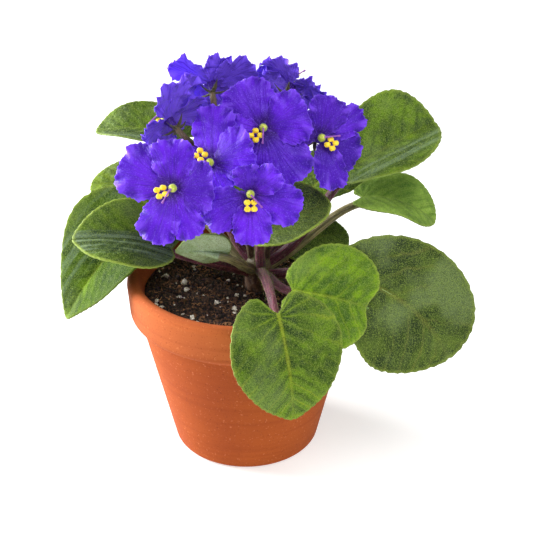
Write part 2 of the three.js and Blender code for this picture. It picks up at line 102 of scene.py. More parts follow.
add_lamp("side_lamp", SIDE_LAMP)
add_lamp("top_lamp", TOP_LAMP)
world = bpy.data.worlds.new("studio")
world.use_nodes = True
surroundings = world.node_tree.nodes["Background"].inputs
surroundings["Color"].default_value = (1, 1, 1, 1)
surroundings["Strength"].default_value = SURROUNDINGS
bpy.context.scene.world = world
bpy.context.scene.view_settings.view_transform = "Standard"

# %% [markdown]
# ## Helpers for finishes
# Every finish is a small network of nodes round one shader. These helpers keep a network as short as the
# sentence that describes it: a noise, a ramp that picks out part of it, and a blend between two colours.
# Numbers that are the same all over go on the shader itself. Many small things need no more than two colours
# mixed in soft patches over fine bumps, so one helper makes that whole finish.

# %% Finish helpers


def colour(red, green, blue):
    """A colour as it looks on a screen, from 0 to 255, in the shader's own scale."""
    shares = [value / 255 for value in (red, green, blue)]
    return tuple(s / 12.92 if s <= 0.04045 else ((s + 0.055) / 1.055) ** 2.4 for s in shares) + (1.0,)


class Finish:
    """A material with one shader, and short names for the nodes that feed it."""

    def __init__(self, name, roughness, **settings):
        self.material = bpy.data.materials.new(name)
        self.material.use_nodes = True
        self.tree = self.material.node_tree
        self.shader = self.tree.nodes["Principled BSDF"]
        self.shader.inputs["Roughness"].default_value = roughness
        for socket, value in settings.items():
            self.shader.inputs[socket.replace("_", " ")].default_value = value

    def node(self, kind, inputs, **options):
        """A node with its options set, and each input either set to a value or linked to an output."""
        made = self.tree.nodes.new(kind)
        for option, value in options.items():
            setattr(made, option, value)
        for socket, value in inputs.items():
            if isinstance(value, bpy.types.NodeSocket):
                self.tree.links.new(value, made.inputs[socket])
            else:
                made.inputs[socket].default_value = value
        return made

    def calc(self, operation, first, second=0.0, third=0.0):
        """One step of arithmetic."""
        return self.node("ShaderNodeMath", {0: first, 1: second, 2: third}, operation=operation).outputs[0]

    def ramp(self, value, start, end, low=0.0, high=1.0):
        """Goes smoothly from low to high while the value goes from start to end."""
        inputs = {"Value": value, "From Min": start, "From Max": end, "To Min": low, "To Max": high}
        return self.node("ShaderNodeMapRange", inputs, interpolation_type="SMOOTHSTEP").outputs["Result"]

    def blend(self, share, first, second):
        """A colour between two others."""
        return self.node("ShaderNodeMix", {0: share, 6: first, 7: second}, data_type="RGBA").outputs[2]

    def where(self):
        """Where on the object a point is, in metres."""
        return self.node("ShaderNodeTexCoord", {}).outputs["Object"]

    def stretched(self, x, y, z):
        """The same, squeezed or stretched along each axis."""
        return self.node("ShaderNodeMapping", {"Vector": self.where(), "Scale": (x, y, z)}).outputs[0]

    def noise(self, per_metre, detail=2.0, place=None):
        """Soft random values round a half."""
        inputs = {"Vector": place or self.where(), "Scale": per_metre, "Detail": detail}
        return self.node("ShaderNodeTexNoise", inputs).outputs["Fac"]

    def cells(self, per_metre):
        """Distance from the middle of the nearest random cell."""
        inputs = {"Vector": self.where(), "Scale": per_metre}
        return self.node("ShaderNodeTexVoronoi", inputs).outputs["Distance"]

    def kept(self, name):
        """Three numbers that the mesh keeps at each point."""
        read = self.node("ShaderNodeAttribute", {}, attribute_name=name)
        return self.node("ShaderNodeSeparateXYZ", {0: read.outputs["Vector"]}).outputs

    def paint(self, base):
        self.tree.links.new(base, self.shader.inputs["Base Color"])

    def dull(self, roughness):
        self.tree.links.new(roughness, self.shader.inputs["Roughness"])

    def emboss(self, height, depth):
        """Bumps of a depth in millimetres."""
        bump = self.node("ShaderNodeBump", {"Height": height, "Distance": depth * MM})
        self.tree.links.new(bump.outputs[0], self.shader.inputs["Normal"])


def patchy_finish(name, roughness, patches, colours, bumps, **settings):
    """Two colours in soft patches over fine bumps. Patches and bumps are given as what their noise needs."""
    finish = Finish(name, roughness, **settings)
    per_metre, detail, start, end = patches
    finish.paint(finish.blend(finish.ramp(finish.noise(per_metre, detail), start, end), *colours))
    per_metre, detail, depth = bumps
    finish.emboss(finish.noise(per_metre, detail), depth)
    return finish


print("white in the shader's scale:", colour(255, 255, 255))

# %% [markdown]
# ## Helpers for pieces
# Round stalks, thin leaves and thousands of hairs are all easier to lay out as arrays of numbers than to
# model by hand. A Shape holds points in millimetres and the triangles between them, and one piece joins
# several Shapes. Each point may also keep its place on the leaf or petal, which the finish reads to draw
# veins.

# %% Piece helpers


class Shape:
    """Points in millimetres, triangles between them, a finish, and what each point keeps."""

    def __init__(self, points, triangles, finish, place=None, spot=None):
        self.points = np.asarray(points, float)
        self.triangles = np.asarray(triangles, int)
        self.finish = finish
        self.place = np.zeros((len(self.points), 3)) if place is None else np.asarray(place, float)
        self.spot = np.zeros((len(self.points), 3)) if spot is None else np.asarray(spot, float)


def add_piece(name, shapes, nodes):
    """Joins shapes into one smooth object that stands for the named solids."""
    starts = np.cumsum([0] + [len(shape.points) for shape in shapes])
    triangles = np.concatenate([shape.triangles + start for shape, start in zip(shapes, starts)])
    finishes = list(dict.fromkeys(shape.finish for shape in shapes))
    slots = np.concatenate([np.full(len(shape.triangles), finishes.index(shape.finish)) for shape in shapes])
    mesh = bpy.data.meshes.new(name)
    mesh.vertices.add(starts[-1])
    mesh.vertices.foreach_set("co", np.concatenate([shape.points for shape in shapes]).ravel() * MM)
    mesh.loops.add(triangles.size)
    mesh.loops.foreach_set("vertex_index", triangles.ravel())
    mesh.polygons.add(len(triangles))
    mesh.polygons.foreach_set("loop_start", np.arange(0, triangles.size, 3))
    mesh.polygons.foreach_set("material_index", slots)
    mesh.polygons.foreach_set("use_smooth", np.ones(len(triangles), bool))
    for keeps in ("place", "spot"):
        kept = np.concatenate([getattr(shape, keeps) for shape in shapes])
        mesh.attributes.new(keeps, "FLOAT_VECTOR", "POINT").data.foreach_set("vector", kept.ravel())
    mesh.update(calc_edges=True)
    for finish in finishes:
        mesh.materials.append(finish.material)
    piece = bpy.data.objects.new(name, mesh)
    bpy.context.scene.collection.objects.link(piece)
    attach(piece, "root")
    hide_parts(*nodes)
    print(name, "triangles:", len(triangles))
    return piece


trial_shape = Shape([(0, 0, 0), (1, 0, 0), (0, 1, 0)], [(0, 1, 2)], None)
print("numbers kept in a trial shape:", trial_shape.place.size + trial_shape.spot.size)

# %% [markdown]
# ## Helpers for sheets and curves
# A leaf or a petal starts as a disc of rings round a middle point, so its triangles only depend on how many
# rings and spokes there are. The rings have the form of its edge, and the teeth fade out away from it. A
# stalk follows a smooth curve, which is set by its two ends and by a guide point near each end that says
# which way it leaves and arrives.

# %% Sheets and curves


def unit(vectors):
    """Vectors of length one in the same directions."""
    vectors = np.asarray(vectors, float)
    return vectors / np.maximum(np.linalg.norm(vectors, axis=-1, keepdims=True), 1e-9)


def disc_triangles(spokes, rings):
    """The triangles of a disc laid out as a middle point and rings of spokes."""
    here = np.arange(spokes)
    after = (here + 1) % spokes
    triangles = [np.stack([np.zeros(spokes, int), 1 + here, 1 + after], 1)]
    for ring in range(rings - 1):
        inner = 1 + ring * spokes
        outer = inner + spokes
        triangles.append(np.stack([inner + here, outer + here, outer + after], 1))
        triangles.append(np.stack([inner + here, outer + after, inner + after], 1))
    return np.concatenate(triangles)


def sheet_rings(middle, edge_along, edge_across, shares, teeth, fade):
    """A flat sheet's points, ring by ring from its middle: along, across, and how near the rim."""
    along, across, rim = [[middle]], [[0.0]], [[0.0]]
    for share in shares:
        out = share * (1 + teeth * share ** fade)
        along.append(middle + (edge_along - middle) * out)
        across.append(edge_across * out)
        rim.append(np.full(len(edge_along), share))
    return [np.concatenate(values) for values in (along, across, rim)]


def corner_normals(points, triangles):
    """The direction that each point of a sheet faces."""
    a, b, c = (points[triangles[:, i]] for i in range(3))
    faces = np.cross(b - a, c - a)
    normals = np.zeros_like(points)
    for i in range(3):
        np.add.at(normals, triangles[:, i], faces)
    return unit(normals)


def curve_points(start, leave, arrive, end, steps):
    """Points along a smooth curve that leaves and arrives towards two guide points."""
    t = np.linspace(0, 1, steps + 1)[:, None]
    guides = [np.asarray(p, float) for p in (start, leave, arrive, end)]
    weights = [(1 - t) ** 3, 3 * t * (1 - t) ** 2, 3 * t ** 2 * (1 - t), t ** 3]
    return sum(weight * guide for weight, guide in zip(weights, guides))


print("points on a trial curve:", len(curve_points((0, 0, 0), (0, 0, 1), (1, 0, 1), (1, 0, 0), 8)))

# %% [markdown]
# ## Helpers for stalks and hairs
# A stalk is a row of rings along its path. Each ring starts from the direction of the one before, so the
# tube doesn't twist where the path bends. A hair is a spike on three sides, with its foot sunk a little into
# the surface that it grows from. A larger triangle gets more hairs, so that they stand evenly.

# %% Stalks and hairs
END_REACH = 0.5
END_RADIUS = 0.7
HAIR_ROOT_RADIUS = 0.035
HAIR_CORNERS = (0, 2.1, 4.2)
HAIR_LEAN = 0.36
HAIR_SUNK = 0.15
HAIR_SHORTEST, HAIR_SPREAD = 0.6, 0.8


def tube(path, radii, sides, finish, flat=1.0):
    """A closed round body along a path, with rounded ends. A flat below one makes it thinner one way."""
    path = np.asarray(path, float)
    radii = np.broadcast_to(radii, len(path)).astype(float)
    ways = unit(np.gradient(path, axis=0))
    start = path[0] - ways[0] * radii[0] * END_REACH
    end = path[-1] + ways[-1] * radii[-1] * END_REACH
    path = np.concatenate([[start], path, [end]])
    radii = np.concatenate([[radii[0] * END_RADIUS], radii, [radii[-1] * END_RADIUS]])
    ways = np.concatenate([ways[:1], ways, ways[-1:]])
    side = unit(np.cross(ways[0], [0.3, 0.2, 1] if abs(ways[0][2]) < 0.9 else [1, 0, 0]))
    turns = 2 * np.pi * np.arange(sides) / sides
    points, place = [], []
    for i, (middle, way, radius) in enumerate(zip(path, ways, radii)):
        side = unit(side - way * np.dot(side, way))
        third = np.cross(way, side)
        ring = np.cos(turns)[:, None] * side + flat * np.sin(turns)[:, None] * third
        points.append(middle + radius * ring)
        place.append(np.stack([np.full(sides, i / (len(path) - 1)), turns / (2 * np.pi), np.zeros(sides)], 1))
    count = len(path)
    points.append([path[0], path[-1]])
    place.append([[0, 0, 0], [1, 0, 0]])
    here = np.arange(sides)
    after = (here + 1) % sides
    triangles = []
    for ring in range(count - 1):
        low, high = ring * sides, (ring + 1) * sides
        triangles.append(np.stack([low + here, low + after, high + after], 1))
        triangles.append(np.stack([low + here, high + after, high + here], 1))
    last = (count - 1) * sides
    cap = count * sides
    triangles.append(np.stack([np.full(sides, cap), after, here], 1))
    triangles.append(np.stack([np.full(sides, cap + 1), last + here, last + after], 1))
    return Shape(np.concatenate(points), np.concatenate(triangles), finish, np.concatenate(place))


def hairs_on(shape, count, length, finish, random, which=None, root=HAIR_ROOT_RADIUS):
    """Thin pointed hairs, spread evenly over a shape or over some of its triangles."""
    triangles = shape.triangles if which is None else shape.triangles[which]
    a, b, c = (shape.points[triangles[:, i]] for i in range(3))
    faces = np.cross(b - a, c - a)
    areas = np.linalg.norm(faces, axis=1)
    pick = random.choice(len(triangles), count, p=areas / areas.sum())
    u, v = random.random((2, count, 1))
    over = (u + v) > 1
    u = np.where(over, 1 - u, u)
    v = np.where(over, 1 - v, v)
    foot = a[pick] + u * (b - a)[pick] + v * (c - a)[pick]
    way = unit(unit(faces[pick]) + HAIR_LEAN * random.normal(size=(count, 3)))
    side = unit(np.cross(way, random.normal(size=(count, 3))))
    third = np.cross(way, side)
    reach = length * (HAIR_SHORTEST + HAIR_SPREAD * random.random((count, 1)))
    ring = [foot - HAIR_SUNK * way + root * (math.cos(t) * side + math.sin(t) * third) for t in HAIR_CORNERS]
    points = np.stack(ring + [foot + reach * way], 1).reshape(-1, 3)
    first = 4 * np.arange(count)
    spikes = [np.stack([first + k, first + (k + 1) % 3, first + 3], 1) for k in range(3)]
    return Shape(points, np.concatenate(spikes), finish)


print("points on a trial tube:", len(tube([(0, 0, 0), (0, 0, 1), (0, 0, 2)], 1, 8, None).points))

# %% [markdown]
# ## Floor
# A plain white floor catches the shadow. It glows faintly, so that it stays white where little light falls.
# It is only a stage for the picture.

# %% Floor
FLOOR_HALF = 4000
FLOOR_BELOW = 0.05
FLOOR_GLOW = 0.52

paper = Finish("white_paper", 0.9, Emission_Color=(1, 1, 1, 1), Emission_Strength=FLOOR_GLOW)
paper.paint(paper.blend(paper.noise(30), colour(216, 216, 216), colour(210, 210, 210)))
floor_mesh = bpy.data.meshes.new("floor")
corners = [(x * FLOOR_HALF * MM, y * FLOOR_HALF * MM, -FLOOR_BELOW * MM)
           for x, y in ((-1, -1), (1, -1), (1, 1), (-1, 1))]
floor_mesh.from_pydata(corners, [], [(0, 1, 2, 3)])
floor_mesh.materials.append(paper.material)
floor = bpy.data.objects.new("floor", floor_mesh)
bpy.context.scene.collection.objects.link(floor)
print("floor side in mm:", 2 * FLOOR_HALF)

# %% [markdown]
# ## Terracotta
# Fired clay is orange, matt and a little uneven. The rim band is paler than the body. There are fine light
# and dark specks, and faint level lines from the turning. The lines are a noise that is squeezed along the
# height and hardly changes round the pot.

# %% Terracotta finish
RIM_PALE_FROM, RIM_PALE_FULL = 0.064, 0.072
TURNING_LINES = (12, 12, 420)

terracotta = Finish("terracotta", 0.85, Specular_IOR_Level=0.18)
clay_patches = terracotta.noise(22, 3)
clay = terracotta.blend(terracotta.ramp(clay_patches, 0.3, 0.7), colour(154, 69, 25), colour(170, 83, 33))
height = terracotta.node("ShaderNodeSeparateXYZ", {0: terracotta.where()}).outputs["Z"]
paler_rim = terracotta.ramp(height, RIM_PALE_FROM, RIM_PALE_FULL, 0, 0.35)
clay = terracotta.blend(paler_rim, clay, colour(192, 108, 64))
clay_lines = terracotta.noise(1, 3, terracotta.stretched(*TURNING_LINES))
clay = terracotta.blend(terracotta.ramp(clay_lines, 0.42, 0.75, 0, 0.28), clay, colour(128, 48, 20))
dark_specks = terracotta.ramp(terracotta.noise(1300, 1), 0.62, 0.75, 0, 0.5)
clay = terracotta.blend(dark_specks, clay, colour(112, 44, 20))
light_specks = terracotta.ramp(terracotta.noise(900, 1), 0.64, 0.76, 0, 0.45)
clay = terracotta.blend(light_specks, clay, colour(206, 122, 76))
terracotta.paint(clay)
terracotta.dull(terracotta.ramp(clay_patches, 0.2, 0.8, 0.78, 0.92))
clay_grain = terracotta.calc("ADD", terracotta.noise(1500, 3), terracotta.calc("MULTIPLY", clay_lines, 0.7))
terracotta.emboss(clay_grain, 0.12)
print("terracotta nodes:", len(terracotta.tree.nodes))

# %% [markdown]
# ## Pot
# A thrown pot is one outline turned round an axis, so it is drawn as that. Each corner of the outline has
# its radius, its height and how far its rounding reaches, from the foot up the outside and down the inside.
# The long sides are split finely, and the whole is swept round. The drain holes are then cut through the
# floor with a boolean, because that's simpler than leaving gaps in the sweep.

# %% Pot
POT_OUTLINE = [
    (32.5, 0, 1.2), (34, 1.5, 1.2), (49, 67, 1.6), (51.4, 67, 0.6), (53, 68.8, 1.4), (54, 83, 1.6),
    (52.5, 85.4, 1.2), (51, 86, 1.2), (48.8, 85.4, 1.0), (48, 83, 1.2), (30, 8, 3),
]
POT_SIDES = 160
SPLIT_LONGER = 1.5
DRAIN_HOLES = 3
DRAIN_HOLE_RADIUS = 4
DRAIN_HOLES_RADIUS = 15
DRILL_LENGTH = 40
ROUNDING_STEPS = (0, 0.25, 0.5, 0.75, 1)


def rounded_outline(corners):
    """Each inner corner becomes a short curve that starts and ends at its own distance from the corner."""
    points = [np.array([0.0, corners[0][1]])]
    spots = [np.array(corner[:2], float) for corner in corners]
    spots = [points[0]] + spots + [np.array([0.0, corners[-1][1]])]
    for i in range(1, len(spots) - 1):
        corner = spots[i]
        reach = min(corners[i - 1][2], *(0.45 * np.linalg.norm(spots[i + k] - corner) for k in (-1, 1)))
        before = corner + unit(spots[i - 1] - corner) * reach
        after = corner + unit(spots[i + 1] - corner) * reach
        for t in ROUNDING_STEPS:
            points.append((1 - t) ** 2 * before + 2 * t * (1 - t) * corner + t ** 2 * after)
    points.append(spots[-1])
    return points


def split_long(points, longest):
    """The same outline with its long stretches split."""
    split = [points[0]]
    for start, end in zip(points, points[1:]):
        parts = max(1, math.ceil(np.linalg.norm(end - start) / longest))
        split += [start + (end - start) * k / parts for k in range(1, parts + 1)]
    return np.array(split)


def turned(outline, sides, finish):
    """An outline of radius and height swept round the upright axis, from its foot on the axis to its top."""
    turns = 2 * np.pi * np.arange(sides) / sides
    middle = outline[1:-1]
    points = [[0, 0, outline[0][1]]]
    points += [[r * math.cos(t), r * math.sin(t), z] for r, z in middle for t in turns]
    points.append([0, 0, outline[-1][1]])
    triangles = disc_triangles(sides, len(middle))[:, ::-1]
    here = np.arange(sides)
    edge = 1 + (len(middle) - 1) * sides
    cap = np.stack([np.full(sides, len(points) - 1), edge + here, edge + (here + 1) % sides], 1)
    return Shape(points, np.concatenate([triangles, cap]), finish)


pot_outline = split_long(rounded_outline(POT_OUTLINE), SPLIT_LONGER)
pot = add_piece("terracotta_pot", [turned(pot_outline, POT_SIDES, terracotta)], ["pot"])
for hole in range(DRAIN_HOLES):
    turn = 2 * math.pi * hole / DRAIN_HOLES
    at = (DRAIN_HOLES_RADIUS * math.cos(turn) * MM, DRAIN_HOLES_RADIUS * math.sin(turn) * MM, 0)
    bpy.ops.mesh.primitive_cylinder_add(
        vertices=32, radius=DRAIN_HOLE_RADIUS * MM, depth=DRILL_LENGTH * MM, location=at)
    drill = bpy.context.object
    cut = pot.modifiers.new("drain", "BOOLEAN")
    cut.object = drill
    cut.solver = "EXACT"
    cut_mesh = bpy.data.meshes.new_from_object(pot.evaluated_get(bpy.context.evaluated_depsgraph_get()))
    pot.modifiers.clear()
    pot.data = cut_mesh
    bpy.data.objects.remove(drill)
print("pot faces with its drain holes:", len(pot.data.polygons))

# %% [markdown]
# ## Soil
# Potting soil is a dark crumbly mass with brown fibres and white grains of perlite. A bumpy bed fills the
# pot, and thousands of loose crumbs, fibres and grains lie on it half sunk. They are real shapes, so they
# catch the light from any side.

# %% Soil finishes
peat = Finish("peat", 0.95)
peat_mix = peat.ramp(peat.noise(900, 4), 0.42, 0.68)
peat_colour = peat.blend(peat_mix, colour(14, 9, 7), colour(84, 56, 38))
peat.paint(peat.blend(peat.ramp(peat.noise(420, 2), 0.6, 0.72, 0, 0.6), peat_colour, colour(136, 94, 62)))
peat.emboss(peat.noise(1400, 4), 0.5)

fibre = patchy_finish(
    "soil_fibre", 0.9, (160, 1, 0.35, 0.65), (colour(78, 50, 32), colour(156, 112, 74)), (2500, 2, 0.1))
perlite = patchy_finish(
    "perlite", 0.8, (1200, 3, 0.35, 0.65), (colour(186, 172, 146), colour(246, 240, 226)), (2200, 3, 0.3))
print("soil finishes:", [f.material.name for f in (peat, fibre, perlite)])

# %% [markdown]
# ## Soil bed
# The bed of the soil is a disc that fills the pot. Its hills are a few waves that cross each other, and
# every point is a little off them. Its sides follow the pot's inner wall down to the floor, with a hair's
# breadth between them.

# %% Soil bed
SOIL_TOP = 77.5
SOIL_FLOOR = 8.3
SOIL_GAP = 0.3
BED_SPOKES, BED_RINGS = 90, 30
BED_WAVES = 7
BED_STEEPNESS = 0.13
BED_HILL = 0.16
BED_ROUGHNESS = 0.25
BED_EDGE_ROUGHNESS = 0.2
BED_EDGE_DROP = 0.36


def inner_radius(height):
    """The pot's inner radius at a height, from the top and the foot of its inner wall."""
    (top_radius, top), (foot_radius, foot) = POT_OUTLINE[-2][:2], POT_OUTLINE[-1][:2]
    return foot_radius + (top_radius - foot_radius) * (height - foot) / (top - foot)


def soil_bed(random):
    """The bumpy top of the soil, its sides and its foot."""
    spokes, rings = BED_SPOKES, BED_RINGS
    turns = 2 * np.pi * np.arange(spokes) / spokes
    radius = inner_radius(SOIL_TOP - 1) - SOIL_GAP
    waves = random.normal(size=(BED_WAVES, 2)) * BED_STEEPNESS
    shifts = random.random(BED_WAVES) * 6
    points = [[0, 0, SOIL_TOP]]
    for share in np.linspace(0, 1, rings + 1)[1:]:
        x, y = radius * share * np.cos(turns), radius * share * np.sin(turns)
        hills = sum(BED_HILL * np.sin((wave[0] * x + wave[1] * y) * times + shift)
                    for times, (wave, shift) in enumerate(zip(waves, shifts), 1))
        rough = hills + BED_ROUGHNESS * random.normal(size=spokes)
        rough = rough * (1 if share < 1 else BED_EDGE_ROUGHNESS)
        points += list(np.stack([x, y, SOIL_TOP + rough - BED_EDGE_DROP * share ** 8], 1))
    low = inner_radius(SOIL_FLOOR) - SOIL_GAP
    points += [[low * math.cos(t), low * math.sin(t), SOIL_FLOOR] for t in turns]
    points.append([0, 0, SOIL_FLOOR])
    here = np.arange(spokes)
    edge = 1 + rings * spokes
    cap = np.stack([np.full(spokes, len(points) - 1), edge + (here + 1) % spokes, edge + here], 1)
    return Shape(points, np.concatenate([disc_triangles(spokes, rings + 1), cap]), peat)


soil_random = np.random.default_rng(7)
bed = soil_bed(soil_random)
print("points in the soil bed:", len(bed.points))

# %% [markdown]
# ## Crumbs, grains and fibres
# The crumbs share one rough ball that is squeezed and turned anew each time. Laying them out in a ring
# pattern would look sown, so each has its own random place inside the pot's inner radius and outside the
# crown. Small lumps are far more common than large ones, as in a real mix.

# %% Crumbs, grains and fibres
CROWN_AT = (6, 1)
CROWN_RADIUS = 6.5
CRUMBS = 2600
GRAINS = 130
LUMP_THINNEST, LUMP_SPREAD = 0.55, 0.45
LUMP_ROUGHNESS = 0.22
FIBRES = 700
FIBRE_SHORTEST, FIBRE_SPREAD = 1.5, 4
FIBRE_THINNEST, FIBRE_THICKER = 0.1, 0.14
FIBRES_WITHIN = 0.93
FIBRES_BELOW = 1.8


def ball(rings, spokes):
    """A round ball of radius one."""
    outline = [(math.sin(math.pi * k / rings), -math.cos(math.pi * k / rings)) for k in range(rings + 1)]
    return turned(np.array(outline), spokes, None)


def free_place(random):
    """A random place on the soil, clear of the pot's wall and of the crown."""
    radius = inner_radius(SOIL_TOP)
    while True:
        x, y = (random.random(2) * 2 - 1) * (radius - 1.5)
        off_wall = math.hypot(x, y) <= radius - 1.8
        if off_wall and math.hypot(x - CROWN_AT[0], y - CROWN_AT[1]) > CROWN_RADIUS + 1:
            return np.array([x, y])


def lumps(count, sizes, sunk, finish, form, random):
    """Rough lumps of random size, squeezed and turned, that lie partly sunk in the soil."""
    smallest, largest = sizes
    points, triangles = [], []
    for k in range(count):
        size = smallest + (largest - smallest) * random.random() ** 2
        turned_axes = np.linalg.qr(random.normal(size=(3, 3)))[0]
        squeeze = LUMP_THINNEST + LUMP_SPREAD * random.random(3)
        rough = 1 + LUMP_ROUGHNESS * random.normal(size=(len(form.points), 1))
        lump = (form.points * rough * squeeze * size) @ turned_axes.T
        place = free_place(random)
        points.append(lump + [place[0], place[1], SOIL_TOP + size * (1 - sunk) * random.random()])
        triangles.append(form.triangles + k * len(form.points))
    return Shape(np.concatenate(points), np.concatenate(triangles), finish)


def fibres(count, random):
    """Short bent fibres that lie on the soil every way."""
    shapes = []
    for _ in range(count):
        place = free_place(random) * FIBRES_WITHIN
        turn = random.random() * 2 * math.pi
        length = FIBRE_SHORTEST + FIBRE_SPREAD * random.random() ** 2
        way = np.array([math.cos(turn), math.sin(turn), 0.25 * random.normal()])
        bend = random.normal(size=3) * 0.3 * length
        start = np.array([place[0], place[1], SOIL_TOP + 0.3 + 0.6 * random.random()])
        end = start + way * length * 0.7
        end[2] = min(end[2], SOIL_TOP + FIBRES_BELOW)
        path = curve_points(start, start + way * length * 0.2 + bend * 0.3, end + bend * 0.3, end, 3)
        shapes.append(tube(path, FIBRE_THINNEST + FIBRE_THICKER * random.random(), 4, fibre))
    return shapes


soil_shapes = [
    bed,
    lumps(CRUMBS, (0.35, 1.5), 0.5, peat, ball(3, 5), soil_random),
    lumps(CRUMBS // 2, (0.2, 1.0), 0.3, fibre, ball(3, 5), soil_random),
    lumps(GRAINS, (0.35, 1.7), 0.2, perlite, ball(5, 8), soil_random),
    *fibres(FIBRES, soil_random),
]
add_piece("potting_soil", soil_shapes, ["soil"])

# %% [markdown]
# ## The leaves, one by one
# No two leaves are alike, so each has its own values. The first line says where the blade sits on its stalk,
# which way its midrib heads, its slope there, how far it droops towards the tip and how far it leans to one
# side, in degrees. The second gives its length and width, how far its base lobes reach back, how much wider
# it is at the base, how far the tip sticks out, how far the halves lift off the midrib, and the height on
# the crown that its stalk grows from. These two lines are the same in the solids.
#
# The last line is for the surface: its tone of green, how far it bulges between its veins, how strong the
# veins show, and the colour of the stalk. Some leaves also have a silver band of painted sheen, a bright
# margin, a haze, a different underside, one half darkened by painted shade, or less shine.

# %% Leaf values
LEAVES = [
    dict(name="leaf_front", seat=(14.4, -61.2, 96.9), heading=-68, slope=-50, droop=36, lean=0,
         length=44, width=47, lobes=0.26, egg=0.26, tip=0.05, lift=6, root=86,
         tone="mid", quilt=1.0, veins=0.35, stalk="purple"),
    dict(name="leaf_front_right", seat=(20.8, -40.2, 97.5), heading=-12, slope=-2, droop=14, lean=42,
         length=38.5, width=47.5, lobes=0.14, egg=-0.02, tip=-0.12, lift=6, root=84,
         tone="fresh", quilt=0.8, veins=0.22, stalk="purple", margin=0.6),
    dict(name="leaf_right_large", seat=(44, -31, 99.5), heading=-12, slope=-10, droop=60, lean=50,
         length=64, width=59, lobes=0.12, egg=-0.1, tip=0, lift=-6, root=83,
         tone="dark", quilt=0.5, veins=0.25, stalk="purple", haze=0.7),
    dict(name="leaf_right_low", seat=(19.5, 15.5, 90.5), heading=26, slope=8, droop=16, lean=24,
         length=33, width=32, lobes=0.12, egg=0.1, tip=0.02, lift=0, root=84,
         tone="dark", quilt=0.4, veins=0.2, stalk="purple"),
    dict(name="leaf_right_middle", seat=(53, 10, 118), heading=-8, slope=10, droop=56, lean=8,
         length=37, width=35, lobes=0.16, egg=-0.06, tip=0.02, lift=10, root=86,
         tone="pale", quilt=0.35, veins=0.15, stalk="green"),
    dict(name="leaf_right_high", seat=(46, 6, 133.5), heading=14, slope=27, droop=4, lean=26,
         length=46, width=43, lobes=0.22, egg=-0.2, tip=0, lift=27, root=87,
         tone="mid", quilt=0.3, veins=0.12, stalk="purple", silver=(-0.5, 0.35, 0.5)),
    dict(name="leaf_inner_right", seat=(7, -20, 115), heading=16, slope=24, droop=12, lean=20,
         length=34, width=32, lobes=0.2, egg=0.1, tip=0.03, lift=20, root=87,
         tone="dark", quilt=0.5, veins=0.2, stalk="purple", under="deep", margin=0.8),
    dict(name="leaf_inner_left", seat=(-7, -18, 104), heading=184, slope=14, droop=20, lean=62,
         length=23, width=21, lobes=0.04, egg=0.2, tip=0.06, lift=10, root=86,
         tone="pale", quilt=0.4, veins=0.2, stalk="green", under="whitish"),
    dict(name="leaf_left_middle", seat=(-32, -15.6, 104.9), heading=180, slope=20, droop=28, lean=-26,
         length=44, width=36, lobes=0.08, egg=0.12, tip=0.05, lift=18, root=84,
         tone="mid", quilt=0.3, veins=0.12, stalk="purple", silver=(0.2, 0.5, 0.9), margin=0.8),
    dict(name="leaf_left_low", seat=(-47.5, 8, 105.5), heading=188, slope=-40, droop=24, lean=-32,
         length=62, width=44, lobes=0.2, egg=0.6, tip=0.02, lift=24, root=82,
         tone="mid", quilt=0.35, veins=0.12, stalk="green", silver=(-0.55, 0.5, 0.5), half_shade=0.6, shine=0.03),
    dict(name="leaf_left_back", seat=(-38, 32.4, 112.3), heading=174, slope=12, droop=26, lean=-14,
         length=38, width=34, lobes=0.24, egg=0.06, tip=0, lift=4, root=85,
         tone="yellow", quilt=0.4, veins=0.2, stalk="green"),
    dict(name="leaf_left_high", seat=(-27, 24.9, 141.5), heading=172, slope=16, droop=32, lean=-14,
         length=43, width=30, lobes=0.24, egg=0.1, tip=0.04, lift=20, root=88,
         tone="mid", quilt=0.3, veins=0.12, stalk="purple", silver=(0.75, 0.5, 0.7)),
    dict(name="leaf_back_left", seat=(-15, 42, 117), heading=114, slope=15, droop=45, lean=0,
         length=44, width=42, lobes=0.28, egg=0.12, tip=0.04, lift=5, root=86,
         tone="mid", quilt=0.5, veins=0.3, stalk="purple"),
    dict(name="leaf_back", seat=(6, 38, 102), heading=86, slope=12, droop=48, lean=0,
         length=47, width=44, lobes=0.3, egg=0.16, tip=0.05, lift=5, root=84,
         tone="fresh", quilt=0.6, veins=0.35, stalk="purple"),
    dict(name="leaf_back_right", seat=(32, 36, 112), heading=48, slope=18, droop=46, lean=0,
         length=45, width=42, lobes=0.28, egg=0.1, tip=0.02, lift=5, root=86,
         tone="mid", quilt=0.5, veins=0.3, stalk="purple"),
    dict(name="leaf_back_left_low", seat=(-34, 32, 94), heading=146, slope=5, droop=50, lean=-5,
         length=42, width=40, lobes=0.28, egg=0.14, tip=0.04, lift=5, root=83,
         tone="dark", quilt=0.4, veins=0.25, stalk="green"),
]
print("leaves:", len(LEAVES))
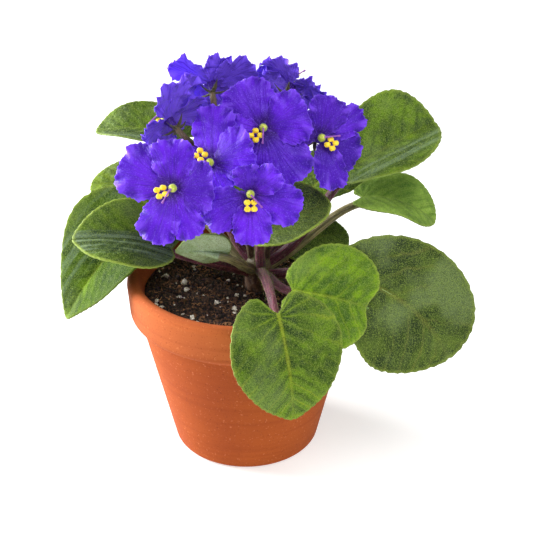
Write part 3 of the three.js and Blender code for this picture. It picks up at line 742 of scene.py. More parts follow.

# %% [markdown]
# ## Leaf colours
# Each tone has three greens: deep, which also serves as painted shade between the veins and on a darkened
# half, light on the blade, and the yellow-green of the veins. Most lower sides are paler and greyer than the
# upper ones. The silver bands of painted sheen, the haze and the pale grain of fine hairs, with painted
# glints on their tips, lie over the greens.

# %% Leaf colours
TONES = {
    "fresh": (colour(44, 80, 4), colour(120, 158, 18), colour(180, 194, 56)),
    "mid": (colour(26, 52, 6), colour(96, 128, 20), colour(168, 178, 44)),
    "dark": (colour(18, 36, 10), colour(74, 94, 30), colour(136, 132, 60)),
    "pale": (colour(72, 108, 34), colour(136, 168, 68), colour(176, 196, 100)),
    "yellow": (colour(70, 96, 10), colour(126, 152, 24), colour(174, 184, 52)),
}
UNDERSIDES = {
    "plain": (colour(104, 136, 70), colour(150, 176, 108)),
    "whitish": (colour(166, 192, 138), colour(206, 224, 184)),
    "deep": (colour(30, 58, 14), colour(74, 104, 34)),
}
MARGIN = colour(154, 174, 66)
# The silver streaks are painted sheen, on a band of darker green.
SILVER_SHEEN = colour(122, 144, 114)
SILVER_GROUND = colour(30, 52, 36)
# The pale grain of the fine hairs, with painted glints where their tips catch the light.
PALE_HAIRS_AND_GLINTS = colour(132, 154, 64)
HAZE = colour(106, 124, 78)
print("tones:", sorted(TONES))

# %% [markdown]
# ## Leaf finish
# A leaf's upper side is yellow-green on its veins and along the margin, and painted shade darkens the
# puckers between its veins. Fine pale hairs give it a paler grain, with painted glints where their tips
# catch the light. The mesh keeps three numbers at each point as its place: a count that is whole on each
# side vein, how far across the blade it is, and how near the rim. Its spot is how far along the leaf it is,
# and whether it is on the upper side. The finish turns these numbers into veins. The haze, the silver band
# of painted sheen, the lower side, the margin and a half darkened by painted shade are blended in one after
# the other.

# %% Leaf finish
MIDRIB_STRENGTH = 1.5
LEAF_BUMPS = 0.6


def leaf_veins(skin, strength, nearest, out, along):
    """How strongly the side veins and the midrib show at each point."""
    comes_and_goes = skin.ramp(skin.noise(50, 2), 0.35, 0.65, 0.2, 1)
    side_veins = skin.calc("MULTIPLY", skin.ramp(nearest, 0.02, 0.13, strength, 0), comes_and_goes)
    fades = skin.ramp(along, 0.3, 1.0, 1, 0.15)
    midrib_line = skin.calc("MULTIPLY", skin.ramp(out, 0.012, 0.06, MIDRIB_STRENGTH * strength, 0), fades)
    return skin.calc("MAXIMUM", side_veins, midrib_line)


def sheen_banded(skin, green, band_values, along, across):
    """The same green with a dark lengthwise band that has streaks of painted silver sheen in it."""
    middle, half, strength = band_values
    away = skin.calc("ABSOLUTE", skin.calc("SUBTRACT", across, middle))
    band = skin.ramp(away, half * 0.55, half, strength, 0)
    green = skin.blend(band, green, SILVER_GROUND)
    lengthwise = skin.node("ShaderNodeCombineXYZ", {
        "X": skin.calc("MULTIPLY", along, 1.2),
        "Y": skin.calc("MULTIPLY", across, 7.0),
    }).outputs[0]
    # Painted sheen: silver streaks along the band.
    streaks = skin.ramp(skin.noise(1.0, 2, lengthwise), 0.42, 0.62)
    return skin.blend(skin.calc("MULTIPLY", band, streaks), green, SILVER_SHEEN)


def leaf_finish(leaf):
    """The finish of one leaf, from its tone and the other values of its surface."""
    deep, light, vein_colour = TONES[leaf["tone"]]
    skin = Finish(leaf["name"] + "_skin", 0.6, Specular_IOR_Level=leaf.get("shine", 0.18))
    vein, across, rim = skin.kept("place")
    along, upper, _ = skin.kept("spot")
    out = skin.calc("ABSOLUTE", across)
    wobble = skin.calc("MULTIPLY_ADD", skin.noise(90, 3), 0.9, -0.45)
    nearest = skin.calc("PINGPONG", skin.calc("ADD", vein, wobble), 0.5)
    veins = leaf_veins(skin, leaf["veins"], nearest, out, along)

    patches = skin.ramp(skin.noise(60, 4), 0.4, 0.62, 0, 0.8)
    mottle = skin.ramp(skin.noise(300, 3), 0.4, 0.62, 0, 0.35)
    near_seat = skin.ramp(skin.calc("ADD", along, out), 0.1, 0.75, 1, 0.35)
    flanks = skin.calc("MULTIPLY", skin.ramp(nearest, 0.0, 0.4, 0.9, 0), near_seat)
    green = skin.blend(skin.calc("MAXIMUM", skin.calc("ADD", patches, mottle), flanks), deep, light)
    # Painted shade: the puckers between the side veins, nearer the midrib, are darkened towards the deep
    # green.
    painted_pucker_shade = skin.calc("MULTIPLY", skin.ramp(nearest, 0.25, 0.5, 0, 0.7), skin.ramp(out, 0.1, 0.8, 1, 0.2))
    green = skin.blend(painted_pucker_shade, green, deep)
    green = skin.blend(veins, green, vein_colour)
    green = skin.blend(skin.ramp(skin.noise(38, 2), 0.5, 0.66, 0, leaf.get("haze", 0.4)), green, HAZE)
    if "silver" in leaf:
        green = sheen_banded(skin, green, leaf["silver"], along, across)

    under = skin.blend(skin.calc("MAXIMUM", patches, veins), *UNDERSIDES[leaf.get("under", "plain")])
    green = skin.blend(upper, under, green)
    green = skin.blend(skin.ramp(rim, 0.93, 1.0, 0, leaf.get("margin", 0.4)), green, MARGIN)
    # Pale grain of fine hairs, with painted glints on their tips.
    green = skin.blend(skin.ramp(skin.noise(2300, 2), 0.47, 0.63, 0, 0.54), green, PALE_HAIRS_AND_GLINTS)
    between_hairs = skin.ramp(skin.noise(2000, 2), 0.49, 0.65, 0, 0.52)
    between_hairs = skin.calc("MULTIPLY", between_hairs, skin.ramp(upper, 0, 1, 0.3, 1))
    # Painted shade: one half of the blade, where across is above zero, is darkened towards the deep green.
    painted_shade_half = skin.ramp(across, 0, 0.3, 0, leaf.get("half_shade", 0))
    skin.paint(skin.blend(skin.calc("MAXIMUM", between_hairs, painted_shade_half), green, deep))

    skin.dull(skin.ramp(mottle, 0.0, 0.3, 0.52, 0.7))
    pores = skin.calc("MULTIPLY", skin.cells(420), -0.6)
    grain = skin.calc("MULTIPLY_ADD", skin.noise(1500, 2), 0.5, pores)
    skin.emboss(skin.calc("MULTIPLY_ADD", veins, -0.7, grain), LEAF_BUMPS)
    return skin


hair = Finish("plant_hair", 0.5, Specular_IOR_Level=0.3)
hair.paint(hair.blend(hair.noise(200, 1), colour(122, 142, 58), colour(172, 186, 112)))
print("hair nodes:", len(hair.tree.nodes))

# %% [markdown]
# ## The form of a leaf
# A leaf is laid out flat first: its outline is an egg with a round base, a cleft at the seat and a tip. The
# flat sheet is then bent along an arc that is its midrib, and its halves are lifted off it. The side veins
# are counted in the flat leaf, where they are straight.

# %% The form of a leaf
LEAF_REACH = 0.47
TIP_WIDTH = 0.3
LOBE_WIDTH = 1.1
CLEFT = 0.85
CLEFT_WIDTH = 0.18
FOLD_ROUNDING = 2
EDGE_WAVE = 0.03
EDGE_WAVES = 7
VEINS = 6.5
VEIN_SLANT = 0.42
VEIN_FAN = math.radians(28)


def midrib(leaf, along):
    """The midrib's point at a distance from the seat, and the ways along it, across it and up from it."""
    along = np.asarray(along, float)[..., None]
    turn = math.radians(leaf["heading"])
    ahead = np.array([math.cos(turn), math.sin(turn), 0])
    left = np.array([-math.sin(turn), math.cos(turn), 0])
    up = np.array([0, 0, 1.0])
    bend = math.radians(leaf["droop"]) / leaf["length"]
    start = math.radians(leaf["slope"])
    slope = start - bend * along
    reach = (math.sin(start) - np.sin(slope)) / bend
    rise = (np.cos(slope) - math.cos(start)) / bend
    normal = -np.sin(slope) * ahead + np.cos(slope) * up
    lean = math.radians(leaf["lean"])
    point = np.array(leaf["seat"]) + reach * ahead + rise * up
    tangent = np.cos(slope) * ahead + np.sin(slope) * up
    sideways = math.cos(lean) * left + math.sin(lean) * normal
    face = -math.sin(lean) * left + math.cos(lean) * normal
    return point, tangent, sideways, face


def blade_points(leaf, along, across):
    """Points of the blade's middle surface from their places in the flat leaf."""
    point, _, sideways, face = midrib(leaf, along)
    side = across / (leaf["width"] / 2)
    lift = math.tan(math.radians(leaf["lift"])) * (np.hypot(across, FOLD_ROUNDING) - FOLD_ROUNDING)
    waving = np.sin(EDGE_WAVES * along / leaf["length"] + leaf["heading"])
    wave = EDGE_WAVE * leaf["width"] * side ** 2 * waving
    return point + sideways * across[..., None] + face * (lift + wave)[..., None]


def leaf_outline(leaf, turn):
    """The flat outline: an egg with a round base, a narrow cleft at the seat and a tip of its own."""
    tip = leaf["tip"] * np.exp(-(((np.pi - np.abs(turn)) / TIP_WIDTH) ** 2))
    base = np.exp(-((turn / LOBE_WIDTH) ** 2)) - CLEFT * np.exp(-((turn / CLEFT_WIDTH) ** 2))
    along = leaf["length"] * (LEAF_REACH * (1 - np.cos(turn)) + tip - leaf["lobes"] * base)
    return along, leaf["width"] / 2 * np.sin(turn) * (1 + leaf["egg"] * np.cos(turn))


def vein_count(leaf, along, across):
    """Whole on each side vein. The veins slant towards the tip, and fan out behind the seat."""
    half = leaf["width"] / 2
    ahead = VEINS * (along / leaf["length"] - VEIN_SLANT * np.abs(across) / half)
    first = math.atan2(half, VEIN_SLANT * leaf["length"])
    fan = (np.arctan2(np.abs(across), along) - first) / VEIN_FAN
    return np.where(ahead > 0, ahead, -fan)


print("tip of the front leaf in mm:", np.round(midrib(LEAVES[0], LEAVES[0]["length"])[0], 1))

# %% [markdown]
# ## Thickness and rib
# A sheet becomes a closed body when it is doubled, each half is moved off along its own normals, and the two
# rims are joined. The rib under a blade is a tapered tube. It starts as deep as the stalk that it carries on
# from, and rises into the blade over a few millimetres.

# %% Thickness and rib
STALK_BELOW = 2.9
RIB_FROM, RIB_TO = 3, 0.84
RIB_BELOW = 0.9
RIB_RISES_OVER = 7
RIB_RADII = (1.5, 0.5)
RIB_STEPS = 24


def thin_body(points, triangles, spokes, thickness, finish, place, upper_spot, under_spot):
    """A closed body on both sides of a sheet of rings, and the numbers of its rim triangles."""
    normals = corner_normals(points, triangles)
    half = (thickness / 2)[:, None]
    count = len(points)
    here = np.arange(count - spokes, count)
    after = np.roll(here, -1)
    rim = np.concatenate([np.stack([here, count + here, count + after], 1),
                          np.stack([here, count + after, after], 1)])
    body = Shape(np.concatenate([points + normals * half, points - normals * half]),
                 np.concatenate([triangles, triangles[:, ::-1] + count, rim]), finish,
                 np.concatenate([place, place]), np.concatenate([upper_spot, under_spot]))
    return body, len(triangles)


def make_rib(leaf, finish):
    """The rib under the midrib. It starts as deep as the stalk and rises into the blade."""
    along = np.linspace(RIB_FROM, RIB_TO * leaf["length"], RIB_STEPS)
    point, _, _, face = midrib(leaf, along)
    depth = RIB_BELOW + (STALK_BELOW - RIB_BELOW) * np.exp(-((along - RIB_FROM) / RIB_RISES_OVER) ** 2)
    rib = tube(point - face * depth[:, None], np.linspace(*RIB_RADII, RIB_STEPS), 10, finish)
    rib.place[:, 0] = 0
    rib.spot[:, 1] = 0
    return rib


print("points in the front leaf's rib:", len(make_rib(LEAVES[0], None).points))

# %% [markdown]
# ## Leaf blades
# A blade is a sheet of rings round its middle. Between the side veins it bulges up a little, as a quilt
# does, and over the midrib it has a groove. It thins towards its scalloped rim. Fine hairs stand on both
# sides, more of them above. A hair on the rim stands out sideways and makes the edge look soft.

# %% Leaf blades
LEAF_THICK_MIDDLE = 1.35
LEAF_THICK_RIM = 0.75
LEAF_MIDDLE = 0.42
LEAF_SPOKES = 108
LEAF_SHARES = (0.1, 0.2, 0.3, 0.4, 0.5, 0.6, 0.69, 0.77, 0.84, 0.9, 0.95, 0.98, 1.0)
LEAF_TEETH = 21
LEAF_TOOTH = 0.022
MEAN_TOOTH = 0.64
MIDRIB_GROOVE = 0.45
MIDRIB_GROOVE_WIDTH = 1.6
LEAF_AREA = 0.8
UPPER_HAIRS_PER_SQUARE_MM = 2.6
UNDER_HAIRS_PER_SQUARE_MM = 0.8
LEAF_HAIR = 0.55
RIM_HAIRS = 900


def make_blade(leaf, finish, random):
    """The blade of one leaf with its underside rib and its hairs."""
    turns = np.pi - 2 * np.pi * np.arange(LEAF_SPOKES) / LEAF_SPOKES
    edge_along, edge_across = leaf_outline(leaf, turns)
    middle = LEAF_MIDDLE * leaf["length"]
    teeth = LEAF_TOOTH * (np.abs(np.sin(LEAF_TEETH * turns)) - MEAN_TOOTH)
    along, across, rim = sheet_rings(middle, edge_along, edge_across, LEAF_SHARES, teeth, 8)
    veins = vein_count(leaf, along, across)
    side = across / (leaf["width"] / 2)
    nearest = np.abs(veins - np.round(veins))
    bulge = np.sin(np.pi * np.clip(nearest, 0, 0.5)) * np.clip(np.abs(side) * 4, 0, 1) * (1 - rim ** 6)
    groove = MIDRIB_GROOVE * np.exp(-((across / MIDRIB_GROOVE_WIDTH) ** 2)) * (1 - rim ** 6)
    _, _, _, face = midrib(leaf, along)
    points = blade_points(leaf, along, across) + face * (leaf["quilt"] * bulge - groove)[:, None]
    triangles = disc_triangles(LEAF_SPOKES, len(LEAF_SHARES))
    thickness = LEAF_THICK_MIDDLE + (LEAF_THICK_RIM - LEAF_THICK_MIDDLE) * rim ** 4
    place = np.stack([veins, side, rim], 1)
    share = along / leaf["length"]
    upper = np.stack([share, np.ones_like(share), side], 1)
    under = np.stack([share, np.zeros_like(share), side], 1)
    body, sheet = thin_body(points, triangles, LEAF_SPOKES, thickness, finish, place, upper, under)
    area = LEAF_AREA * leaf["length"] * leaf["width"]
    hairs = [hairs_on(body, count, length, hair, random, where) for count, length, where in (
        (int(area * UPPER_HAIRS_PER_SQUARE_MM), LEAF_HAIR, slice(0, sheet)),
        (int(area * UNDER_HAIRS_PER_SQUARE_MM), LEAF_HAIR, slice(sheet, 2 * sheet)),
        (RIM_HAIRS, LEAF_HAIR * 0.8, slice(2 * sheet, None)),
    )]
    return [body, make_rib(leaf, finish), *hairs]


leaf_random = np.random.default_rng(11)
for leaf in LEAVES:
    blade = make_blade(leaf, leaf_finish(leaf), leaf_random)
    add_piece(leaf["name"] + "_blade", blade, [leaf["name"]])

# %% [markdown]
# ## Stalk finishes
# The stalks are fleshy, purple-brown on some leaves and olive on others. The colour runs lengthwise in faint
# streaks, so the noise is read along the stalk. The turn round the stalk goes in as a sine and a cosine, and
# so the streaks meet without a seam.

# %% Stalk finishes


def stalk_finish(name, deep, light, tip):
    """A fleshy stalk: streaks along it, pale specks, a different colour near its end, and a soft shine."""
    flesh = Finish(name, 0.5, Sheen_Weight=0.08, Sheen_Roughness=0.5, Specular_IOR_Level=0.3)
    along, around, _ = flesh.kept("place")
    lengthwise = flesh.node("ShaderNodeCombineXYZ", {
        "X": flesh.calc("MULTIPLY", along, 2.5),
        "Y": flesh.calc("SINE", flesh.calc("MULTIPLY", around, 2 * math.pi)),
        "Z": flesh.calc("COSINE", flesh.calc("MULTIPLY", around, 2 * math.pi)),
    }).outputs[0]
    streaks = flesh.ramp(flesh.noise(3.0, 3, lengthwise), 0.35, 0.65)
    flesh_colour = flesh.blend(streaks, deep, light)
    flesh_colour = flesh.blend(flesh.ramp(along, 0.75, 1.0, 0, 0.8), flesh_colour, tip)
    freckles = flesh.ramp(flesh.noise(1100, 2), 0.55, 0.75, 0, 0.3)
    flesh.paint(flesh.blend(freckles, flesh_colour, colour(190, 176, 158)))
    flesh.dull(flesh.ramp(streaks, 0, 1, 0.45, 0.6))
    flesh.emboss(flesh.calc("ADD", streaks, flesh.noise(900, 2)), 0.25)
    return flesh


STALK_FINISHES = {
    "purple": stalk_finish("purple_stalk", colour(70, 24, 40), colour(124, 60, 78), colour(112, 62, 64)),
    "green": stalk_finish("olive_stalk", colour(104, 98, 58), colour(158, 146, 98), colour(156, 158, 104)),
}
crown_skin = stalk_finish("crown_skin", colour(70, 46, 38), colour(112, 82, 62), colour(104, 96, 62))
print("stalk finishes:", sorted(STALK_FINISHES))

# %% [markdown]
# ## Crown and leaf stalks
# Every stalk grows from the crown, a short thick stem in the soil. Each follows the same smooth curve as its
# solid, from the crown to the start of the midrib, and gets thinner on the way. Whitish hairs cover them.
# They are one piece, because they grew as one.

# %% Crown and stalks
CROWN_FOOT = 64
CROWN_TOP = 93
CROWN_PROFILE = (0.75, 0.9, 1, 1, 1, 1, 1, 1, 1, 1, 0.98, 0.96, 0.92, 0.82)
STALK_ROOT_RADIUS = 2.6
STALK_END_RADIUS = 1.6
STALK_UNDER_BLADE = 4
STALK_LEAVES_OUT, STALK_LEAVES_UP = 0.9, 0.35
STALK_BOW_START, STALK_BOW_END = 0.4, 0.3
STALK_STEPS = 36
STALK_HAIRS_PER_MM = 9
STALK_HAIR = 1.0


def leaf_stalk_path(leaf):
    """The curve of a leaf's stalk from the crown to the start of its midrib."""
    root = np.array([CROWN_AT[0], CROWN_AT[1], leaf["root"]], float)
    point, tangent, _, face = midrib(leaf, STALK_UNDER_BLADE)
    end = point - face * STALK_BELOW
    span = np.linalg.norm(end - root)
    out = unit([end[0] - root[0], end[1] - root[1], 0])
    leave = root + unit(STALK_LEAVES_OUT * out + np.array([0, 0, STALK_LEAVES_UP])) * STALK_BOW_START * span
    arrive = end - tangent * STALK_BOW_END * span
    return curve_points(root, leave, arrive, end, STALK_STEPS)


stalk_random = np.random.default_rng(13)
crown_heights = np.linspace(CROWN_FOOT, CROWN_TOP - 2, len(CROWN_PROFILE))
crown_path = [(CROWN_AT[0], CROWN_AT[1], z) for z in crown_heights]
crown_shapes = [tube(crown_path, CROWN_RADIUS * np.array(CROWN_PROFILE), 28, crown_skin)]
for leaf in LEAVES:
    path = leaf_stalk_path(leaf)
    radii = np.linspace(STALK_ROOT_RADIUS, STALK_END_RADIUS, len(path))
    shape = tube(path, radii, 14, STALK_FINISHES[leaf["stalk"]])
    span = np.linalg.norm(np.diff(path, axis=0), axis=1).sum()
    crown_shapes += [shape, hairs_on(shape, int(span * STALK_HAIRS_PER_MM), STALK_HAIR, hair, stalk_random)]
add_piece("crown_and_stalks", crown_shapes, ["crown_and_leaf_stalks"])

# %% [markdown]
# ## The blooms, one by one
# Each bloom has five lobes of its own size, and each lobe says which way it points round the face, how far
# it reaches, how wide it is and how many degrees it rises off the face. A bloom also has the place of its
# middle, the way it faces, the side its pollen sacs hang on, and the number of the flower stalk that carries
# it. The same values are in the solids. A bloom that stands in the shade is given a darker tone.

# %% Bloom values
BLOOMS = [
    dict(name="bloom_front_left", at=(-28, -37, 143), faces=(-0.15, -0.87, 0.46), pollen=205, spray=0,
         lobes=((5, 17, 22, 14), (95, 20, 18, 18), (158, 26, 23, 2), (251, 24, 17, 9), (295, 22, 14, 3))),
    dict(name="bloom_middle", at=(-13, -25, 149), faces=(-0.3, -0.8, 0.5), pollen=150, spray=0,
         lobes=((26, 20, 23, 16), (98, 25, 19, 3), (180, 14, 12, 10), (235, 15, 12, 12), (290, 17, 17, 2))),
    dict(name="bloom_top_middle", at=(8, -14, 160), faces=(0.05, -0.87, 0.5), pollen=225, spray=1,
         lobes=((20, 20, 23, 18), (115, 22, 22, 8), (180, 16, 12, 14), (238, 16, 12, 2), (300, 27, 24, 4))),
    dict(name="bloom_front", at=(3, -38, 141), faces=(0, -0.92, 0.4), pollen=272, spray=1,
         lobes=((40, 15, 12, 40), (100, 12, 12, 34), (208, 22, 18, 6), (273, 21, 16, 11), (342, 22, 17, 4))),
    dict(name="bloom_right", at=(32, -7, 153), faces=(0.3, -0.85, 0.42), pollen=318, spray=2, shade=0.7,
         lobes=((22, 23, 13, 8), (66, 18, 18, 20), (150, 18, 17, 4), (280, 23, 14, 10), (330, 20, 18, 3))),
    dict(name="bloom_left", at=(-32, -2, 159), faces=(-0.58, 0.55, 0.42), pollen=270, spray=0,
         lobes=((80, 23, 18, 10), (122, 22, 17, 18), (180, 20, 18, 6), (250, 20, 16, 12), (330, 14, 15, 4))),
    dict(name="bloom_top_left", at=(-14, 13, 170), faces=(-0.05, 0.85, 0.45), pollen=270, spray=0,
         lobes=((33, 21, 13, 12), (108, 15, 12, 18), (152, 21, 18, 8), (220, 20, 17, 12), (300, 18, 18, 4))),
    dict(name="bloom_top_right", at=(20, 14, 169), faces=(0.35, 0.75, 0.5), pollen=100, spray=2,
         lobes=((8, 16, 17, 8), (74, 17, 18, 8), (175, 14, 12, 4), (215, 18, 16, 8), (285, 18, 18, 12))),
    dict(name="bloom_back", at=(8, 40, 146), faces=(0.1, 0.88, 0.45), pollen=270, spray=1,
         lobes=((50, 18, 16, 18), (126, 18, 16, 10), (200, 21, 18, 4), (270, 22, 18, 12), (340, 21, 18, 6))),
]
print("blooms:", len(BLOOMS))

# %% [markdown]
# ## Petal finish
# The petals are a velvety blue-violet. Fine darker veins run out from the throat, which is dark from its own
# deeper colour and from painted shade in its hollow. The very edge is lighter, and the backs are paler. A
# painted highlight lightens the frill where it stands up, and painted shade darkens its troughs. Fine light
# specks are painted on as sparkle.
# Each point keeps its share of the way out, its angle in the petal and how near the rim it is, so a noise
# that is read along the angle draws the veins. It also keeps the petal's tone, its side and how far the
# frill lifts it.

# %% Petal finish
violet = Finish("violet_petal", 0.5, Sheen_Weight=0.08, Sheen_Roughness=0.35, Specular_IOR_Level=0.2)
petal_out, petal_angle, petal_rim = violet.kept("place")
petal_tone, petal_upper, petal_fold = violet.kept("spot")
fan = violet.node("ShaderNodeCombineXYZ", {
    "X": violet.calc("MULTIPLY", petal_angle, 9.0),
    "Y": violet.calc("MULTIPLY", petal_out, 0.8),
    "Z": violet.calc("MULTIPLY", petal_tone, 30.0),
}).outputs[0]
petal_veins = violet.ramp(violet.noise(3.0, 3, fan), 0.45, 0.7)
mottled = violet.ramp(violet.noise(120, 2), 0.3, 0.7)
velvet = violet.blend(mottled, colour(76, 17, 186), colour(106, 34, 228))
velvet = violet.blend(violet.calc("MULTIPLY", petal_tone, 0.6), velvet, colour(58, 12, 148))
veined = violet.calc("MULTIPLY", petal_veins, violet.ramp(petal_out, 0.1, 0.9, 0.6, 0.2))
velvet = violet.blend(veined, velvet, colour(46, 10, 122))
# Darker towards the throat: its own deeper colour, and painted shade in its hollow.
velvet = violet.blend(violet.ramp(petal_out, 0.08, 0.36, 0.85, 0), velvet, colour(40, 10, 88))
# Painted shade in the frill's troughs, and a painted highlight on its crests.
velvet = violet.blend(violet.ramp(petal_fold, -0.1, -1.0, 0, 0.6), velvet, colour(44, 12, 126))
velvet = violet.blend(violet.ramp(petal_fold, 0.1, 1.0, 0, 0.5), velvet, colour(128, 74, 240))
velvet = violet.blend(violet.ramp(petal_rim, 0.9, 1.0, 0, 0.5), velvet, colour(124, 76, 238))
petal_back = violet.blend(petal_veins, colour(122, 84, 240), colour(90, 48, 208))
velvet = violet.blend(petal_upper, petal_back, velvet)
# Painted highlight: fine light specks as sparkle.
painted_sparkle = violet.ramp(violet.noise(2200, 2), 0.54, 0.72, 0, 0.35)
violet.paint(violet.blend(painted_sparkle, velvet, colour(140, 100, 250)))
violet.dull(violet.ramp(petal_veins, 0, 1, 0.45, 0.62))
crumple = violet.calc("MULTIPLY_ADD", petal_veins, -0.5, violet.noise(700, 3))
violet.emboss(crumple, 0.3)
print("petal nodes:", len(violet.tree.nodes))

# %% [markdown]
# ## Places on a bloom
# Everything on a bloom is placed by three numbers: to its right, up its face, and out of it. The way the
# bloom faces turns them into a place in the plant. The frill of each petal starts at a phase that is drawn
# just as it was for its solid, so both wave alike.

# %% Places on a bloom


def part_random(seed):
    """The same small random source as the solids use, so that every frill has its solid's phase."""
    state = seed * 7919 + 13
    while True:
        state = state * 16807 % 2147483647
        yield state / 2147483647


def bloom_points(bloom, places):
    """Points from their places on a bloom: to its right, up its face, and out of it."""
    out = unit(bloom["faces"])
    up = unit(np.array([0, 0, 1.0]) - out * out[2])
    right = np.cross(up, out)
    return np.array(bloom["at"]) + np.asarray(places, float) @ np.stack([right, up, out])


def swung(along, across, turn):
    """Two distances on a face, turned round its middle."""
    return along * math.cos(turn) - across * math.sin(turn), along * math.sin(turn) + across * math.cos(turn)


print("10 mm out of the first bloom:", np.round(bloom_points(BLOOMS[0], (0, 0, 10)), 1))

# %% [markdown]
# ## One petal
# A petal is narrow at the throat, widest past its middle and round at the end, where it is frilled. It is
# laid out like a leaf, as rings round its middle. Two kinds of wave run round it: a wide one that bends the
# whole edge, and quick ones that only the last millimetres have. Fine teeth of uneven length make the edge
# look torn. Petals of one bloom overlap, so each lies a little further out than the one before.

# %% One petal
PETAL_THICKNESS = 0.5
PETAL_SPOKES = 150
PETAL_SHARES = (0.15, 0.3, 0.45, 0.58, 0.7, 0.79, 0.86, 0.92, 0.965, 1.0)
PETAL_MIDDLE = 0.58
PETAL_START = 1.2
PETAL_EGG = 0.3
PETAL_CURL = 0.1
PETAL_ROLL = 0.05
PETAL_OVERLAP = 0.12
PETAL_TEETH = ((11, 0.02), (17, 0.02), (29, 0.018), (43, 0.016))
PETAL_SCALLOP = 0.04
FRILL = 1.6
WIDE_WAVES = 5
FINE_FRILLS = ((8, 1.0, 3), (13, 0.8, 5), (21, 0.5, 9), (34, 0.3, 14))


def petal_rings(reach, width, phase):
    """The flat petal as rings: the turn round the middle, along, across, and how near the rim."""
    turns = np.pi - 2 * np.pi * np.arange(PETAL_SPOKES) / PETAL_SPOKES
    middle = PETAL_MIDDLE * reach
    edge_along = PETAL_START + (reach - PETAL_START) * (1 - np.cos(turns)) / 2
    edge_across = width / 2 * np.sin(turns) * (1 - PETAL_EGG * np.cos(turns))
    teeth = PETAL_SCALLOP * np.cos(5 * turns)
    for waves, size in PETAL_TEETH:
        teeth = teeth + size * np.sin(waves * turns + waves * phase)
    edge = np.concatenate([[0.0], np.tile(turns, len(PETAL_SHARES))])
    return [edge, *sheet_rings(middle, edge_along, edge_across, PETAL_SHARES, teeth, 6)]


def make_petal(bloom, lobe, phase, tone, order):
    """One petal of a bloom. Its dish rises from the throat, and the end and the sides turn back."""
    heading, reach, width, rise = lobe
    edge, along, across, rim = petal_rings(reach, width, phase)
    share = along / reach
    side = across / (width / 2)
    dish = (along - PETAL_START) * math.tan(math.radians(rise))
    dish = dish - PETAL_CURL * reach * share ** 3 - PETAL_ROLL * width * side ** 2
    wave = FRILL * rim * share * np.hypot(share - PETAL_MIDDLE, side) * np.sin(WIDE_WAVES * edge + phase)
    fine = sum(size * rim ** fade * np.clip(share, 0, 1) * np.sin(waves * edge + waves * phase)
               for waves, size, fade in FINE_FRILLS)
    lift = dish + wave + fine + PETAL_OVERLAP * order
    places = np.stack([*swung(along, across, math.radians(heading)), lift], 1)
    count = len(places)
    keep = np.stack([np.clip(share, 0, 1), np.arctan2(across, np.maximum(along, 0.4)), rim], 1)
    upper = np.stack([np.full(count, tone), np.ones(count), wave + fine], 1)
    under = np.stack([np.full(count, tone), np.zeros(count), -wave - fine], 1)
    thickness = PETAL_THICKNESS * (1 - 0.5 * rim ** 3)
    triangles = disc_triangles(PETAL_SPOKES, len(PETAL_SHARES))
    points = bloom_points(bloom, places)
    body, _ = thin_body(points, triangles, PETAL_SPOKES, thickness, violet, keep, upper, under)
    return body


print("points in a petal's sheet:", len(petal_rings(20, 18, 0)[0]))

# %% [markdown]
# ## Corollas
# Five petals are joined by a short tube that widens towards the face. A little of its lip shows as the dark
# throat. Every petal gets a tone of its own, so that no two are quite alike.

# %% Corollas
TUBE_RADIUS = 2
TUBE_FLARE = (0.7, 1.2)
TUBE_DEPTH = 4
TUBE_LIP = 0.5
TUBE_STEPS = 6


def make_corolla(bloom, seed, random):
    """Five petals on a short tube."""
    phases = part_random(seed)
    shade = bloom.get("shade", 0)
    shapes = [make_petal(bloom, lobe, next(phases) * 6, random.random() + shade, k)
              for k, lobe in enumerate(bloom["lobes"])]
    heights = np.linspace(-TUBE_DEPTH, TUBE_LIP, TUBE_STEPS)
    radii = TUBE_RADIUS * np.linspace(*TUBE_FLARE, TUBE_STEPS)
    throat = tube(bloom_points(bloom, [(0, 0, h) for h in heights]), radii, 20, violet)
    throat.place[:, 0] = 0
    throat.spot[:, 1] = 1
    return shapes + [throat]


bloom_random = np.random.default_rng(17)
for seed, bloom in enumerate(BLOOMS, 1):
    corolla = make_corolla(bloom, seed, bloom_random)
    add_piece(bloom["name"] + "_petals", corolla, [bloom["name"] + "_corolla"])

# %% [markdown]
# ## Pistil and pollen finishes
# The ovary is pale green and downy, the style is violet and smooth, and the pollen sacs are a warm yellow.
# They are only millimetres across, so soft patches and fine bumps are enough.

# %% Pistil and pollen finishes
OVARY_GREENS = (colour(168, 186, 40), colour(214, 222, 96))
POLLEN_YELLOWS = (colour(240, 196, 10), colour(255, 226, 62))

ovary_skin = patchy_finish("ovary", 0.55, (700, 2, 0.35, 0.65), OVARY_GREENS, (1500, 2, 0.15),
                           Sheen_Weight=0.2)

style_skin = Finish("style", 0.5)
style_skin.paint(style_skin.blend(style_skin.noise(500, 1), colour(120, 52, 150), colour(160, 92, 186)))
style_skin.emboss(style_skin.noise(2000, 1), 0.05)

pollen_skin = patchy_finish("pollen_sac", 0.6, (600, 2, 0.3, 0.7), POLLEN_YELLOWS, (2400, 2, 0.12),
                            Sheen_Weight=0.15)
print("small finishes:", [f.material.name for f in (ovary_skin, style_skin, pollen_skin)])

# %% [markdown]
# ## Pistils and pollen sacs
# The ovary stands in the throat, with a thin style that leans to one side. The pollen sacs are plump and
# hang together beside it, in two pairs. A sac is a ball with a furrow pressed across it. Each pistil is made
# before the sacs of the same bloom, so that its hairs are drawn in the same order every time.

